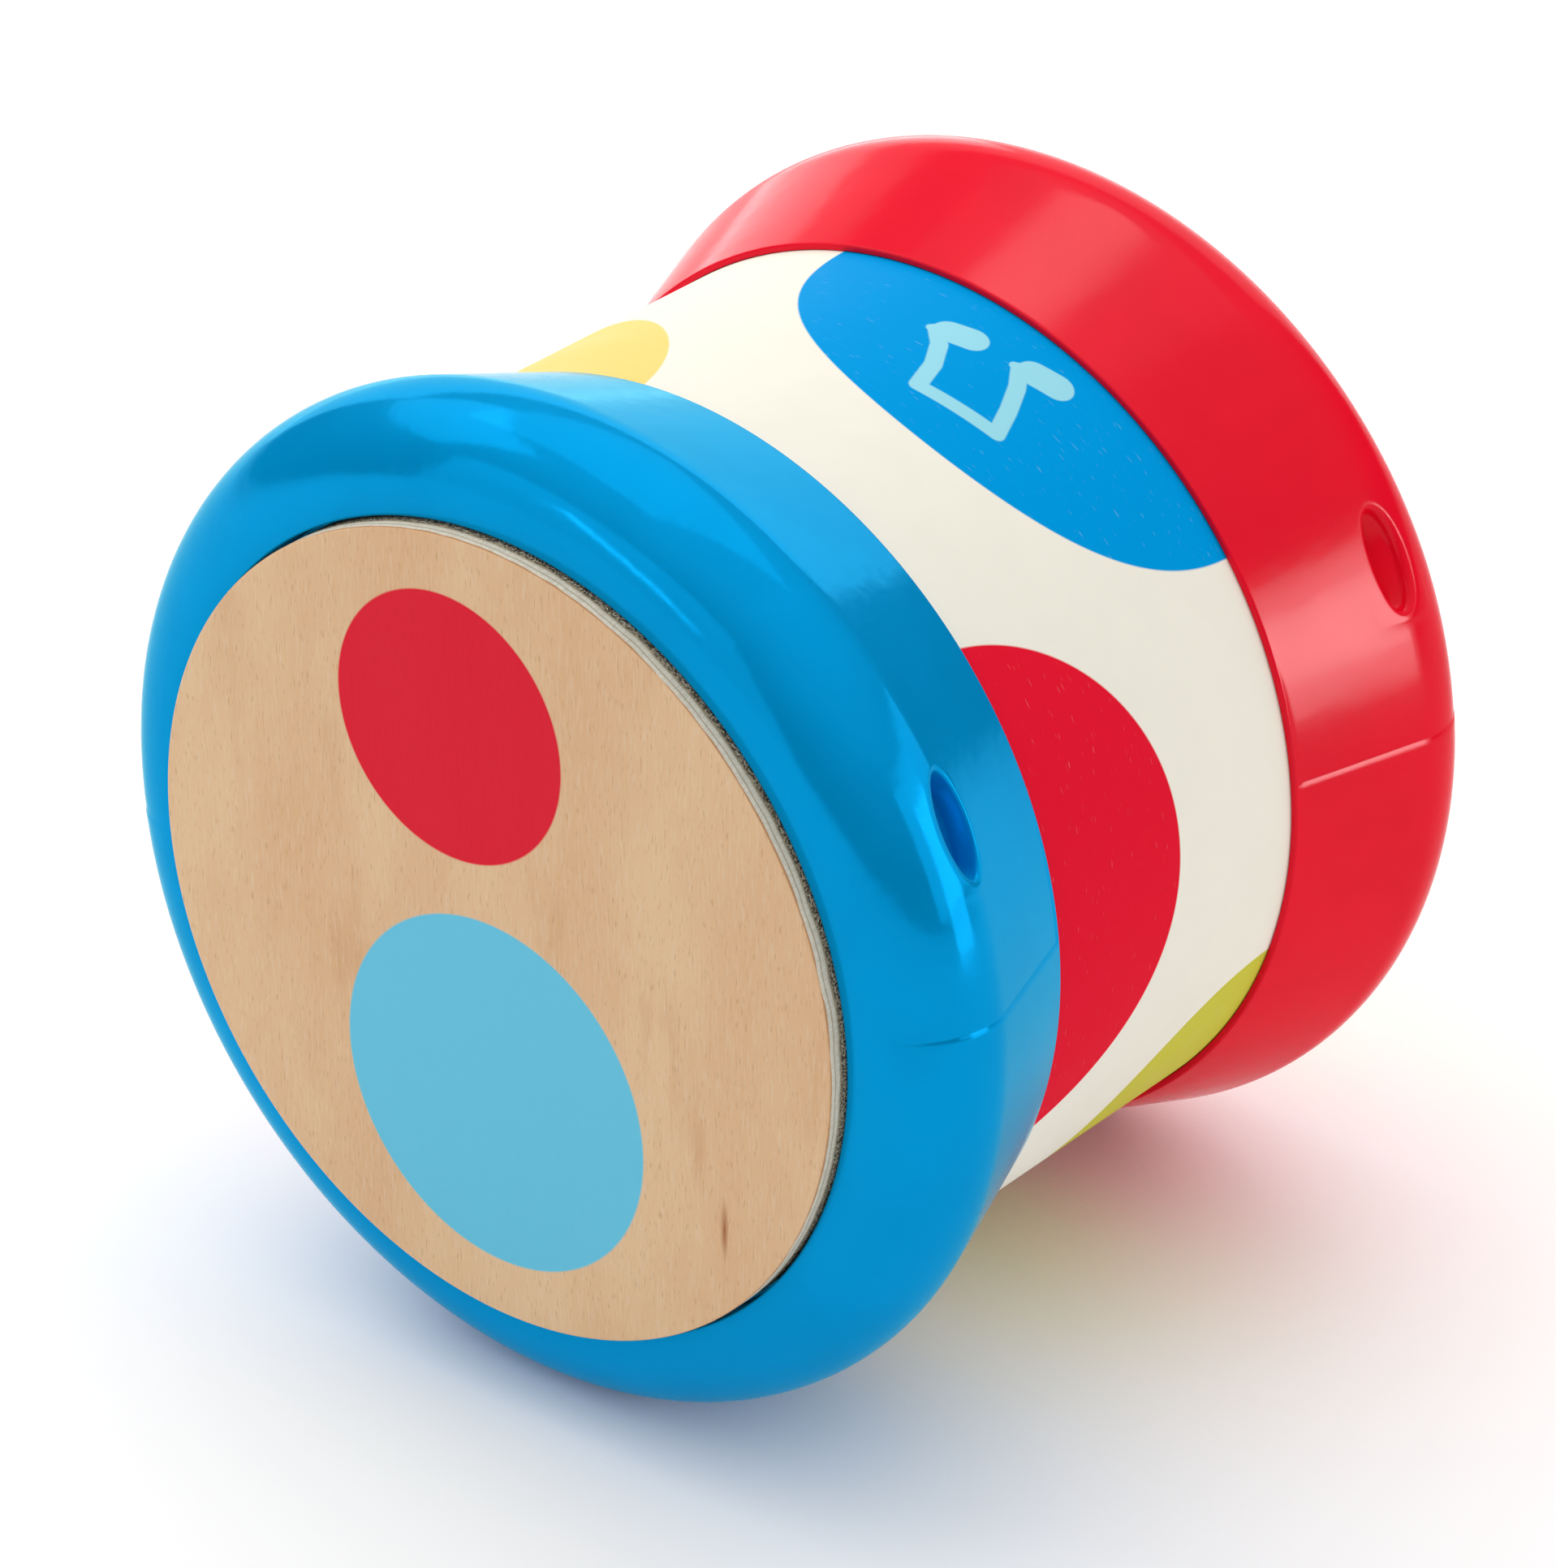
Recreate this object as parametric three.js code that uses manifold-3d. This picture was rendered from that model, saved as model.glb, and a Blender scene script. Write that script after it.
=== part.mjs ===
// Toy drum that lies on its side and rolls: a plywood tube between two moulded rims, a plywood head in each
// rim, and bells and balls inside that sound as it rolls.
// The drum's axis is Y, the blue front head faces -Y, Z is up and the rims rest on z = 0.

import * as THREE from 'three';
import { mergeVertices } from 'three/addons/utils/BufferGeometryUtils.js';
import Module from 'manifold-3d';

const wasm = await Module();
wasm.setup();

// Driving dimensions in millimetres. An inset is measured from a head's face, in along the axis.
const DRUM_LENGTH = 119.2; // from head face to head face
const FIT_GAP = 0.25; // clearance of pieces that sit in or on each other

// Bent plywood tube
const SHELL_RADIUS = 60.1;
const SHELL_WALL = 3;

// Plywood heads and the foam rings behind them
const HEAD_STEP = 6.1; // the head's edge lies this far inside the tube's outside
const HEAD_THICKNESS = 6;
const HEAD_EDGE_BREAK = 0.5;
const HEAD_PROUD = 2.4; // how far the head stands out of the rim
const CUSHION_WIDTH = 5;
const CUSHION_THICKNESS = 1.2;

// Moulded rims
const RIM_WALL = 2.5;
const RECESS_GAP = 0.6; // shadow line round the head
const NOSE_LAND = 0.8; // flat ring round the recess
const CROWN_RISE = 7.8; // the crown stands this far above the tube
const CROWN_INSET = 13.9;
const SHOULDER_ROUND = 7.8;
const LIP_INSET = 35.4;
const LIP_THICKNESS = 0.65;
const SOCKET_DEPTH = 7.4; // the tube goes this far under the lip
const STOP_HEIGHT = 2.4; // shoulder that the tube's end meets
const STOP_LENGTH = 2;
const PLUG_LENGTH = 16; // sleeve inside the tube, from the stop
const SEAT_THICKNESS = 3;
const SEAT_MARGIN = 4; // seat material inside the rod's boss

// Oval sound slots on the rims' shoulders
const SLOT_COUNT = 2;
const SLOT_ANGLE = 27.3; // degrees from +X towards +Z
const SLOT_LENGTH = 14.6;
const SLOT_WIDTH = 6;
const SLOT_SETBACK = 2.2; // from the crown towards the tube
const SLOT_DEPTH_INTO_HOLLOW = 3;

// Head screws, from inside through the seat
const SCREW_COUNT = 4;
const SCREW_FIRST_ANGLE = 45;
const SCREW_RADIUS = 1.45;
const SCREW_HEAD_RADIUS = 3.1;
const SCREW_HEAD_HEIGHT = 1.9;
const SCREW_BITE = 4; // depth in the plywood
const SCREW_POINT = 1.2;
const SCREW_CLEAR_OF_CUSHION = 1.5;

// Bell rod, spacers, bells and pellets
const ROD_RADIUS = 1.5;
const BOSS_RADIUS = 4;
const BOSS_HEIGHT = 4;
const SOCKET_FLOOR = 2; // material left under the rod's end
const SPACER_WALL = 1.2;
const BELL_RADIUS = 7;
const BELL_WALL = 0.8;
const BELL_NECK = 1.2; // between the eye and the ball of the bell
const BELL_NECK_RADIUS = 1.6;
const BELL_SLOT_WIDTH = 1.8;
const BELL_SLOT_TOP = 1.75; // below the middle of the bell
const EYE_WALL = 1.2;
const EYE_LENGTH = 4;
const BELL_CLEARANCE = 1; // from a bell turned outwards to the sleeve
const PELLET_RADIUS = 2.2;
const PELLET_CLEARANCE = 0.5;

// Rattle balls
const BALL_RADIUS = 5;
const BALL_CLEARANCE = 0.3;

// Facets round a turned piece
const LARGE_SIDES = 48;
const SMALL_SIDES = 12;
const BALL_RINGS = 8;
const OVAL_STEPS = 10;
const NOSE_STEPS = 6;
const HOLLOW_STEPS = 2;
const SHOULDER_STEPS = 2;
const OVERCUT = 1; // cutters run this far past the face that they open

// Sizes that follow
const halfLength = DRUM_LENGTH / 2;
const headRadius = SHELL_RADIUS - HEAD_STEP;
const recessRadius = headRadius + RECESS_GAP;
const crownRadius = SHELL_RADIUS + CROWN_RISE;
const seatInset = HEAD_THICKNESS + CUSHION_THICKNESS + 2 * FIT_GAP;
const seatBackInset = seatInset + SEAT_THICKNESS;
const stopInset = LIP_INSET - SOCKET_DEPTH;
const socketRadius = SHELL_RADIUS + FIT_GAP;
const plugRadius = SHELL_RADIUS - SHELL_WALL - FIT_GAP;
const sleeveRadius = plugRadius - RIM_WALL;
const cushionRadius = headRadius - FIT_GAP;
const screwCircle = cushionRadius - CUSHION_WIDTH - SCREW_CLEAR_OF_CUSHION - SCREW_HEAD_RADIUS;
const eyeBore = ROD_RADIUS + FIT_GAP;
const eyeRadius = eyeBore + EYE_WALL;
const bellDrop = eyeRadius + BELL_NECK + BELL_RADIUS; // rod's axis to the middle of the bell
const rodHeight = sleeveRadius - BELL_CLEARANCE - BELL_RADIUS - bellDrop; // above the drum's axis
const seatOpening = rodHeight - BOSS_RADIUS - SEAT_MARGIN;
const bossEndInset = seatBackInset + BOSS_HEIGHT;
const rodEndInset = seatInset + SOCKET_FLOOR + FIT_GAP;

// Lanes along the axis, evenly spaced from the middle to a boss, so that no bell meets a ball:
// half the middle ball, a gap, a bell, a gap, an outer ball and a gap
const LANE_GAPS = 3;
const bossEnd = halfLength - bossEndInset;
const laneGap = (bossEnd - BALL_RADIUS - 2 * BELL_RADIUS - 2 * BALL_RADIUS) / LANE_GAPS;
const bellLane = BALL_RADIUS + laneGap + BELL_RADIUS;
const outerBallLane = bellLane + BELL_RADIUS + laneGap + BALL_RADIUS;

const FRONT = -1;
const BACK = 1;

const blueAbs = new THREE.MeshStandardMaterial({ color: 0x018ece, roughness: 0.22, metalness: 0 });
const redAbs = new THREE.MeshStandardMaterial({ color: 0xe01d35, roughness: 0.22, metalness: 0 });
const plywood = new THREE.MeshStandardMaterial({ color: 0xd2af8b, roughness: 0.6, metalness: 0 });
const creamPaint = new THREE.MeshStandardMaterial({ color: 0xf3f0e1, roughness: 0.4, metalness: 0 });
const foam = new THREE.MeshStandardMaterial({ color: 0x3c3c3e, roughness: 0.9, metalness: 0 });
const zincSteel = new THREE.MeshStandardMaterial({ color: 0xb9bcc0, roughness: 0.35, metalness: 1 });
const whitePlastic = new THREE.MeshStandardMaterial({ color: 0xe8e6e0, roughness: 0.5, metalness: 0 });
const brass = new THREE.MeshStandardMaterial({ color: 0xd0a64a, roughness: 0.3, metalness: 1 });
const beech = new THREE.MeshStandardMaterial({ color: 0xd9b384, roughness: 0.55, metalness: 0 });

const drum = new THREE.Group();
drum.position.z = crownRadius;

function addPiece(name, geometry, material) {
  const mesh = new THREE.Mesh(geometry, material);
  mesh.name = name;
  drum.add(mesh);
  return mesh;
}

// Keeps positions only, joins shared corners and drops the triangles that closed up at a pole
function weld(geometry) {
  geometry.deleteAttribute('normal');
  geometry.deleteAttribute('uv');
  const welded = mergeVertices(geometry);
  const corners = welded.index.array;
  const kept = [];
  for (let i = 0; i < corners.length; i += 3) {
    const [a, b, c] = corners.slice(i, i + 3);
    if (a !== b && b !== c && c !== a) {
      kept.push(a, b, c);
    }
  }
  welded.setIndex(kept);
  return welded;
}

function toSolid(geometry) {
  const welded = weld(geometry);
  return new wasm.Manifold(
    new wasm.Mesh({
      numProp: 3,
      vertProperties: new Float32Array(welded.attributes.position.array),
      triVerts: new Uint32Array(welded.index.array),
    }),
  );
}

function fromSolid(solid) {
  const mesh = solid.getMesh();
  const geometry = new THREE.BufferGeometry();
  geometry.setAttribute('position', new THREE.BufferAttribute(mesh.vertProperties, 3));
  geometry.setIndex(new THREE.BufferAttribute(mesh.triVerts, 1));
  return geometry;
}

// Turns an outline of [radius, along] pairs about Y. Radii are measured to the flats, and a flat faces down.
// An outline that stays off the axis closes on itself.
function turned(outline, sides) {
  const cornerStretch = 1 / Math.cos(Math.PI / sides);
  const points = outline.map(([radius, along]) => new THREE.Vector2(radius * cornerStretch, along));
  if (THREE.ShapeUtils.area(points) < 0) {
    points.reverse();
  }
  if (points.every((point) => point.x > 0)) {
    points.push(points[0].clone());
  }
  return new THREE.LatheGeometry(points, sides, Math.PI / sides);
}

// Place along Y of an inset at one end of the drum
function endwise(side, inset) {
  return side * (halfLength - inset);
}

function atEnd(side, outline) {
  return outline.map(([radius, inset]) => [radius, endwise(side, inset)]);
}

function onCircle(radius, degrees) {
  const angle = THREE.MathUtils.degToRad(degrees);
  return { x: radius * Math.cos(angle), z: radius * Math.sin(angle) };
}

function screwPlaces() {
  const places = [];
  for (let i = 0; i < SCREW_COUNT; i += 1) {
    places.push(onCircle(screwCircle, SCREW_FIRST_ANGLE + (i * 360) / SCREW_COUNT));
  }
  return places;
}

// Round cutter or boss along Y between two insets
function roundBar(side, radius, place, fromInset, toInset) {
  const length = Math.abs(toInset - fromInset);
  const bar = turned(
    [
      [0, -length / 2],
      [radius, -length / 2],
      [radius, length / 2],
      [0, length / 2],
    ],
    SMALL_SIDES,
  );
  return bar.translate(place.x, endwise(side, (fromInset + toInset) / 2), place.z);
}

// Quarter of an ellipse from the nose back to the crown, as [radius, inset] pairs
function noseArc(semiInset, semiRadius, topRadius, fromAngle, steps) {
  const arc = [];
  for (let i = 0; i <= steps; i += 1) {
    const angle = fromAngle * (1 - i / steps);
    const radius = topRadius - semiRadius * (1 - Math.cos(angle));
    arc.push([radius, CROWN_INSET - semiInset * Math.sin(angle)]);
  }
  return arc;
}

// Rounded shoulder behind the crown, ending where a straight flank to the lip touches it
function shoulderArc(topRadius, lipRadius) {
  const across = LIP_INSET - CROWN_INSET;
  const rise = lipRadius - (topRadius - SHOULDER_ROUND);
  const touch = Math.atan2(across, rise) - Math.acos(SHOULDER_ROUND / Math.hypot(across, rise));
  const arc = [];
  for (let i = 1; i <= SHOULDER_STEPS; i += 1) {
    const angle = (touch * i) / SHOULDER_STEPS;
    const radius = topRadius - SHOULDER_ROUND * (1 - Math.cos(angle));
    arc.push([radius, CROWN_INSET + SHOULDER_ROUND * Math.sin(angle)]);
  }
  return arc;
}

// One rim: nose, crown, flank and lip outside, a hollow behind them, then the sleeve and the head's seat
function rimOutline() {
  const lipRadius = socketRadius + LIP_THICKNESS;
  const semiInset = CROWN_INSET - HEAD_PROUD;
  const semiRadius = crownRadius - recessRadius - NOSE_LAND;
  const hollowTop = crownRadius - RIM_WALL;
  const hollowFloor = recessRadius + RIM_WALL;
  const hollowSemiRadius = semiRadius - RIM_WALL;
  const hollowAngle = Math.acos(1 - (hollowTop - hollowFloor) / hollowSemiRadius);
  const nose = noseArc(semiInset, semiRadius, crownRadius, Math.PI / 2, NOSE_STEPS);
  const hollow = noseArc(semiInset - RIM_WALL, hollowSemiRadius, hollowTop, hollowAngle, HOLLOW_STEPS);
  return [
    [recessRadius, HEAD_PROUD],
    ...nose,
    ...shoulderArc(crownRadius, lipRadius),
    [lipRadius, LIP_INSET],
    [socketRadius, LIP_INSET],
    [socketRadius, stopInset],
    ...hollow.reverse(),
    [hollowFloor, stopInset - STOP_LENGTH - STOP_HEIGHT],
    [plugRadius + STOP_HEIGHT, stopInset - STOP_LENGTH],
    [plugRadius + STOP_HEIGHT, stopInset],
    [plugRadius, stopInset],
    [plugRadius, stopInset + PLUG_LENGTH],
    [sleeveRadius, stopInset + PLUG_LENGTH],
    [sleeveRadius, seatBackInset],
    [seatOpening, seatBackInset],
    [seatOpening, seatInset],
    [recessRadius, seatInset],
  ];
}

// Oval bar that points out from the axis and opens the rim's wall into the hollow
function slotCutter(side, degrees) {
  const oval = new THREE.Shape();
  oval.absellipse(0, 0, SLOT_LENGTH / 2, SLOT_WIDTH / 2, 0, 2 * Math.PI);
  const innerRadius = crownRadius - RIM_WALL - SLOT_DEPTH_INTO_HOLLOW;
  const depth = crownRadius + OVERCUT - innerRadius;
  const bar = new THREE.ExtrudeGeometry(oval, { depth, bevelEnabled: false, curveSegments: OVAL_STEPS });
  const outward = onCircle(1, degrees);
  const alongSlot = new THREE.Vector3(-outward.z, 0, outward.x);
  const axial = new THREE.Vector3(0, 1, 0);
  const radial = new THREE.Vector3(outward.x, 0, outward.z);
  bar.applyMatrix4(new THREE.Matrix4().makeBasis(alongSlot, axial.negate(), radial));
  const place = onCircle(innerRadius, degrees);
  return bar.translate(place.x, endwise(side, CROWN_INSET + SLOT_SETBACK), place.z);
}

function rim(side) {
  const rodPlace = { x: 0, z: rodHeight };
  let solid = toSolid(turned(atEnd(side, rimOutline()), LARGE_SIDES));
  solid = solid.add(toSolid(roundBar(side, BOSS_RADIUS, rodPlace, seatInset + FIT_GAP, bossEndInset)));
  const socketFloor = seatInset + SOCKET_FLOOR;
  solid = solid.subtract(
    toSolid(roundBar(side, ROD_RADIUS + FIT_GAP, rodPlace, socketFloor, bossEndInset + OVERCUT)),
  );
  for (const place of screwPlaces()) {
    const hole = roundBar(side, SCREW_RADIUS + FIT_GAP, place, seatInset - OVERCUT, seatBackInset + OVERCUT);
    solid = solid.subtract(toSolid(hole));
  }
  for (let i = 0; i < SLOT_COUNT; i += 1) {
    solid = solid.subtract(toSolid(slotCutter(side, SLOT_ANGLE + (i * 360) / SLOT_COUNT)));
  }
  return fromSolid(solid);
}

function head(side) {
  const outline = [
    [0, 0],
    [headRadius - HEAD_EDGE_BREAK, 0],
    [headRadius, HEAD_EDGE_BREAK],
    [headRadius, HEAD_THICKNESS],
    [0, HEAD_THICKNESS],
  ];
  let solid = toSolid(turned(atEnd(side, outline), LARGE_SIDES));
  for (const place of screwPlaces()) {
    const holeFloor = HEAD_THICKNESS - SCREW_BITE - FIT_GAP;
    const hole = roundBar(side, SCREW_RADIUS + FIT_GAP, place, holeFloor, HEAD_THICKNESS + OVERCUT);
    solid = solid.subtract(toSolid(hole));
  }
  return fromSolid(solid);
}

function cushion(side) {
  const inner = cushionRadius - CUSHION_WIDTH;
  const frontInset = HEAD_THICKNESS + FIT_GAP;
  const backInset = frontInset + CUSHION_THICKNESS;
  const outline = [
    [inner, frontInset],
    [cushionRadius, frontInset],
    [cushionRadius, backInset],
    [inner, backInset],
  ];
  return weld(turned(atEnd(side, outline), LARGE_SIDES));
}

// Pan-head screw: its point is in the plywood, and its head bears on the back of the seat
function headScrew(side, place) {
  const tip = HEAD_THICKNESS - SCREW_BITE;
  const underHead = seatBackInset + FIT_GAP;
  const outline = [
    [0, tip],
    [SCREW_RADIUS, tip + SCREW_POINT],
    [SCREW_RADIUS, underHead],
    [SCREW_HEAD_RADIUS, underHead],
    [SCREW_HEAD_RADIUS, underHead + SCREW_HEAD_HEIGHT / 2],
    [SCREW_HEAD_RADIUS / 2, underHead + SCREW_HEAD_HEIGHT],
    [0, underHead + SCREW_HEAD_HEIGHT],
  ];
  return weld(turned(atEnd(side, outline), SMALL_SIDES).translate(place.x, 0, place.z));
}

function shell() {
  const half = halfLength - stopInset - FIT_GAP;
  const inner = SHELL_RADIUS - SHELL_WALL;
  const outline = [
    [inner, -half],
    [SHELL_RADIUS, -half],
    [SHELL_RADIUS, half],
    [inner, half],
  ];
  return weld(turned(outline, LARGE_SIDES));
}

function bellRod() {
  const half = halfLength - rodEndInset;
  const outline = [
    [0, -half],
    [ROD_RADIUS, -half],
    [ROD_RADIUS, half],
    [0, half],
  ];
  return weld(turned(outline, SMALL_SIDES).translate(0, 0, rodHeight));
}

// Tube on the rod, a fit gap short of its neighbour at each end
function bellSpacer(from, to) {
  const bore = ROD_RADIUS + FIT_GAP;
  const outline = [
    [bore, from + FIT_GAP],
    [bore + SPACER_WALL, from + FIT_GAP],
    [bore + SPACER_WALL, to - FIT_GAP],
    [bore, to - FIT_GAP],
  ];
  return weld(turned(outline, SMALL_SIDES).translate(0, 0, rodHeight));
}

function looseBall(radius) {
  return weld(new THREE.SphereGeometry(radius, SMALL_SIDES, BALL_RINGS));
}

// Slotted hollow ball that hangs from an eye on the rod; made about its own rod axis
function bell() {
  const middle = -bellDrop;
  const ball = (radius) => toSolid(looseBall(radius).translate(0, 0, middle));
  const neckTop = -eyeBore - EYE_WALL / 2;
  const neckBottom = middle + BELL_RADIUS - BELL_WALL / 2;
  const neckLength = neckTop - neckBottom;
  const neck = new THREE.CylinderGeometry(BELL_NECK_RADIUS, BELL_NECK_RADIUS, neckLength, SMALL_SIDES);
  neck.rotateX(Math.PI / 2).translate(0, 0, (neckTop + neckBottom) / 2);
  const slotBottom = BELL_RADIUS + OVERCUT;
  const slotHeight = slotBottom - BELL_SLOT_TOP;
  const slot = new THREE.BoxGeometry(BELL_SLOT_WIDTH, 2 * slotBottom, slotHeight);
  slot.translate(0, 0, middle - BELL_SLOT_TOP - slotHeight / 2);
  const eye = turned(
    [
      [eyeBore, -EYE_LENGTH / 2],
      [eyeRadius, -EYE_LENGTH / 2],
      [eyeRadius, EYE_LENGTH / 2],
      [eyeBore, EYE_LENGTH / 2],
    ],
    SMALL_SIDES,
  );
  const body = ball(BELL_RADIUS).add(toSolid(neck)).add(toSolid(eye));
  return fromSolid(body.subtract(ball(BELL_RADIUS - BELL_WALL)).subtract(toSolid(slot)));
}

const ends = [
  { side: FRONT, name: 'front', plastic: blueAbs },
  { side: BACK, name: 'back', plastic: redAbs },
];

addPiece('drum_shell', shell(), creamPaint);
for (const { side, name, plastic } of ends) {
  addPiece(`${name}_rim`, rim(side), plastic);
  addPiece(`${name}_head`, head(side), plywood);
  addPiece(`${name}_head_cushion`, cushion(side), foam);
  screwPlaces().forEach((place, i) => {
    addPiece(`${name}_head_screw_${i + 1}`, headScrew(side, place), zincSteel);
  });
}

addPiece('bell_rod', bellRod(), zincSteel);
const eyeReach = EYE_LENGTH / 2;
addPiece('front_bell_spacer', bellSpacer(-bossEnd, -bellLane - eyeReach), whitePlastic);
addPiece('middle_bell_spacer', bellSpacer(-bellLane + eyeReach, bellLane - eyeReach), whitePlastic);
addPiece('back_bell_spacer', bellSpacer(bellLane + eyeReach, bossEnd), whitePlastic);
const pelletHang = bellDrop + BELL_RADIUS - BELL_WALL - PELLET_CLEARANCE - PELLET_RADIUS;
for (const { side, name } of ends) {
  const lane = side * bellLane;
  addPiece(`${name}_bell`, bell(), brass).position.set(0, lane, rodHeight);
  const pellet = addPiece(`${name}_bell_pellet`, looseBall(PELLET_RADIUS), zincSteel);
  pellet.position.set(0, lane, rodHeight - pelletHang);
}

// The outer balls lie on the rims' sleeves, the middle one on the tube
const onSleeve = sleeveRadius - BALL_CLEARANCE - BALL_RADIUS;
const onShell = SHELL_RADIUS - SHELL_WALL - BALL_CLEARANCE - BALL_RADIUS;
addPiece('front_rattle_ball', looseBall(BALL_RADIUS), beech).position.set(0, -outerBallLane, -onSleeve);
addPiece('middle_rattle_ball', looseBall(BALL_RADIUS), beech).position.set(0, 0, -onShell);
addPiece('back_rattle_ball', looseBall(BALL_RADIUS), beech).position.set(0, outerBallLane, -onSleeve);

export default drum;
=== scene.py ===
"""Toy drum that lies on its side: smooth meshes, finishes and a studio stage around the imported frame."""

import bisect
import math

import bmesh
import bpy
from mathutils import Matrix, Quaternion, Vector


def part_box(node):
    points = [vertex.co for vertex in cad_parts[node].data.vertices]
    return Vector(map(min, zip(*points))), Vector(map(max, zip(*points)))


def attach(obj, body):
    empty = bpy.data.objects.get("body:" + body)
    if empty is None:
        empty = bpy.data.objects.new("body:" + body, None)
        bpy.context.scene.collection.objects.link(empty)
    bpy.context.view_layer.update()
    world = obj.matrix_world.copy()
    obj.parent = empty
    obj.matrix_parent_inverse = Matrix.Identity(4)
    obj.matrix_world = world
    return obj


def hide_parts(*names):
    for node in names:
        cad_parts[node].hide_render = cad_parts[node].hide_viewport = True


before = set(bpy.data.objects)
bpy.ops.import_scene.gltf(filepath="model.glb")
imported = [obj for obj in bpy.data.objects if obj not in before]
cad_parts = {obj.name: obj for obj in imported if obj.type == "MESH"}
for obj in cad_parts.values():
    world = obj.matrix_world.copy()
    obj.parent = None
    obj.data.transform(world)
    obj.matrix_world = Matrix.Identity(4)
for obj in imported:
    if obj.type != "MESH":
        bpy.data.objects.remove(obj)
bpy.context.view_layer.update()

bl_info = {
    "name": "Toy drum",
    "version": (1, 0, 0),
    "blender": (4, 5, 0),
    "location": "View3D > Sidebar > Toy drum",
    "description": "Dresses the toy drum's frame with smooth pieces, finishes and a studio stage",
    "category": "Add Mesh",
}

MM = 0.001
ENDS = {"front": -1, "back": 1}
LANES = ("front", "middle", "back")
EVEN = (1, 1, 1)
WHITE = (1, 1, 1, 1)

# Facets of the smooth pieces
RIM_SIDES = 320
TURNED_SIDES = 192
SMALL_SIDES = 48
CORNER_STEPS = 4
CURVE_STEPS = 40
SLOT_STEPS = 6
BALL_STEPS = 4
CORNER_LEAD = 1.4
SHARP_ANGLE = math.radians(40)
MERGE_GAP = 0.001 * MM

# Outlines are swept along a circle of this radius, which the sweep takes off again
SWEEP_RADIUS = 10 * MM

# Kinds of nodes that are used most
MATH = "ShaderNodeMath"
VECTOR_MATH = "ShaderNodeVectorMath"
JOIN_XYZ = "ShaderNodeCombineXYZ"
SPLIT_XYZ = "ShaderNodeSeparateXYZ"
MAPPING = "ShaderNodeMapping"
MAP_RANGE = "ShaderNodeMapRange"


# Sizes read from the frame

def half_width(node):
    """Radius of a turned node, which is half its width across the drum."""
    low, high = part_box(node)
    return (high.x - low.x) / 2


def middle(node):
    """Centre of a node's box."""
    low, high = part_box(node)
    return (low + high) / 2


AXIS_HEIGHT = middle("front_rim").z
HALF_LENGTH = -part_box("front_head")[0].y
CROWN_RADIUS = half_width("front_rim")
SHELL_RADIUS = half_width("drum_shell")
HEAD_RADIUS = half_width("front_head")
ROD_HEIGHT = middle("bell_rod").z
ROD_RADIUS = half_width("bell_rod")


def inset_of(along):
    """Distance of a place along Y from the front head's face."""
    return HALF_LENGTH + along


NOSE_INSET = inset_of(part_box("front_rim")[0].y)
PLUG_END_INSET = inset_of(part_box("front_rim")[1].y)
HEAD_BACK_INSET = inset_of(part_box("front_head")[1].y)
CUSHION_BACK_INSET = inset_of(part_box("front_head_cushion")[1].y)


# What a user may change

def linear(code):
    """sRGB hex colour as linear red, green, blue and alpha."""
    channels = [int(code[i:i + 2], 16) / 255 for i in (1, 3, 5)]
    return [c / 12.92 if c <= 0.04045 else ((c + 0.055) / 1.055) ** 2.4 for c in channels] + [1.0]


def length(name, description, millimetres):
    return bpy.props.FloatProperty(
        name=name, description=description, default=millimetres * MM, unit="LENGTH", subtype="DISTANCE")


def angle(name, description, degrees):
    return bpy.props.FloatProperty(
        name=name, description=description, default=math.radians(degrees), unit="ROTATION", subtype="ANGLE")


def colour(name, description, code):
    return bpy.props.FloatVectorProperty(
        name=name, description=description, default=linear(code), size=4, subtype="COLOR", min=0, max=1)


def number(name, description, value):
    return bpy.props.FloatProperty(name=name, description=description, default=value)


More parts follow.
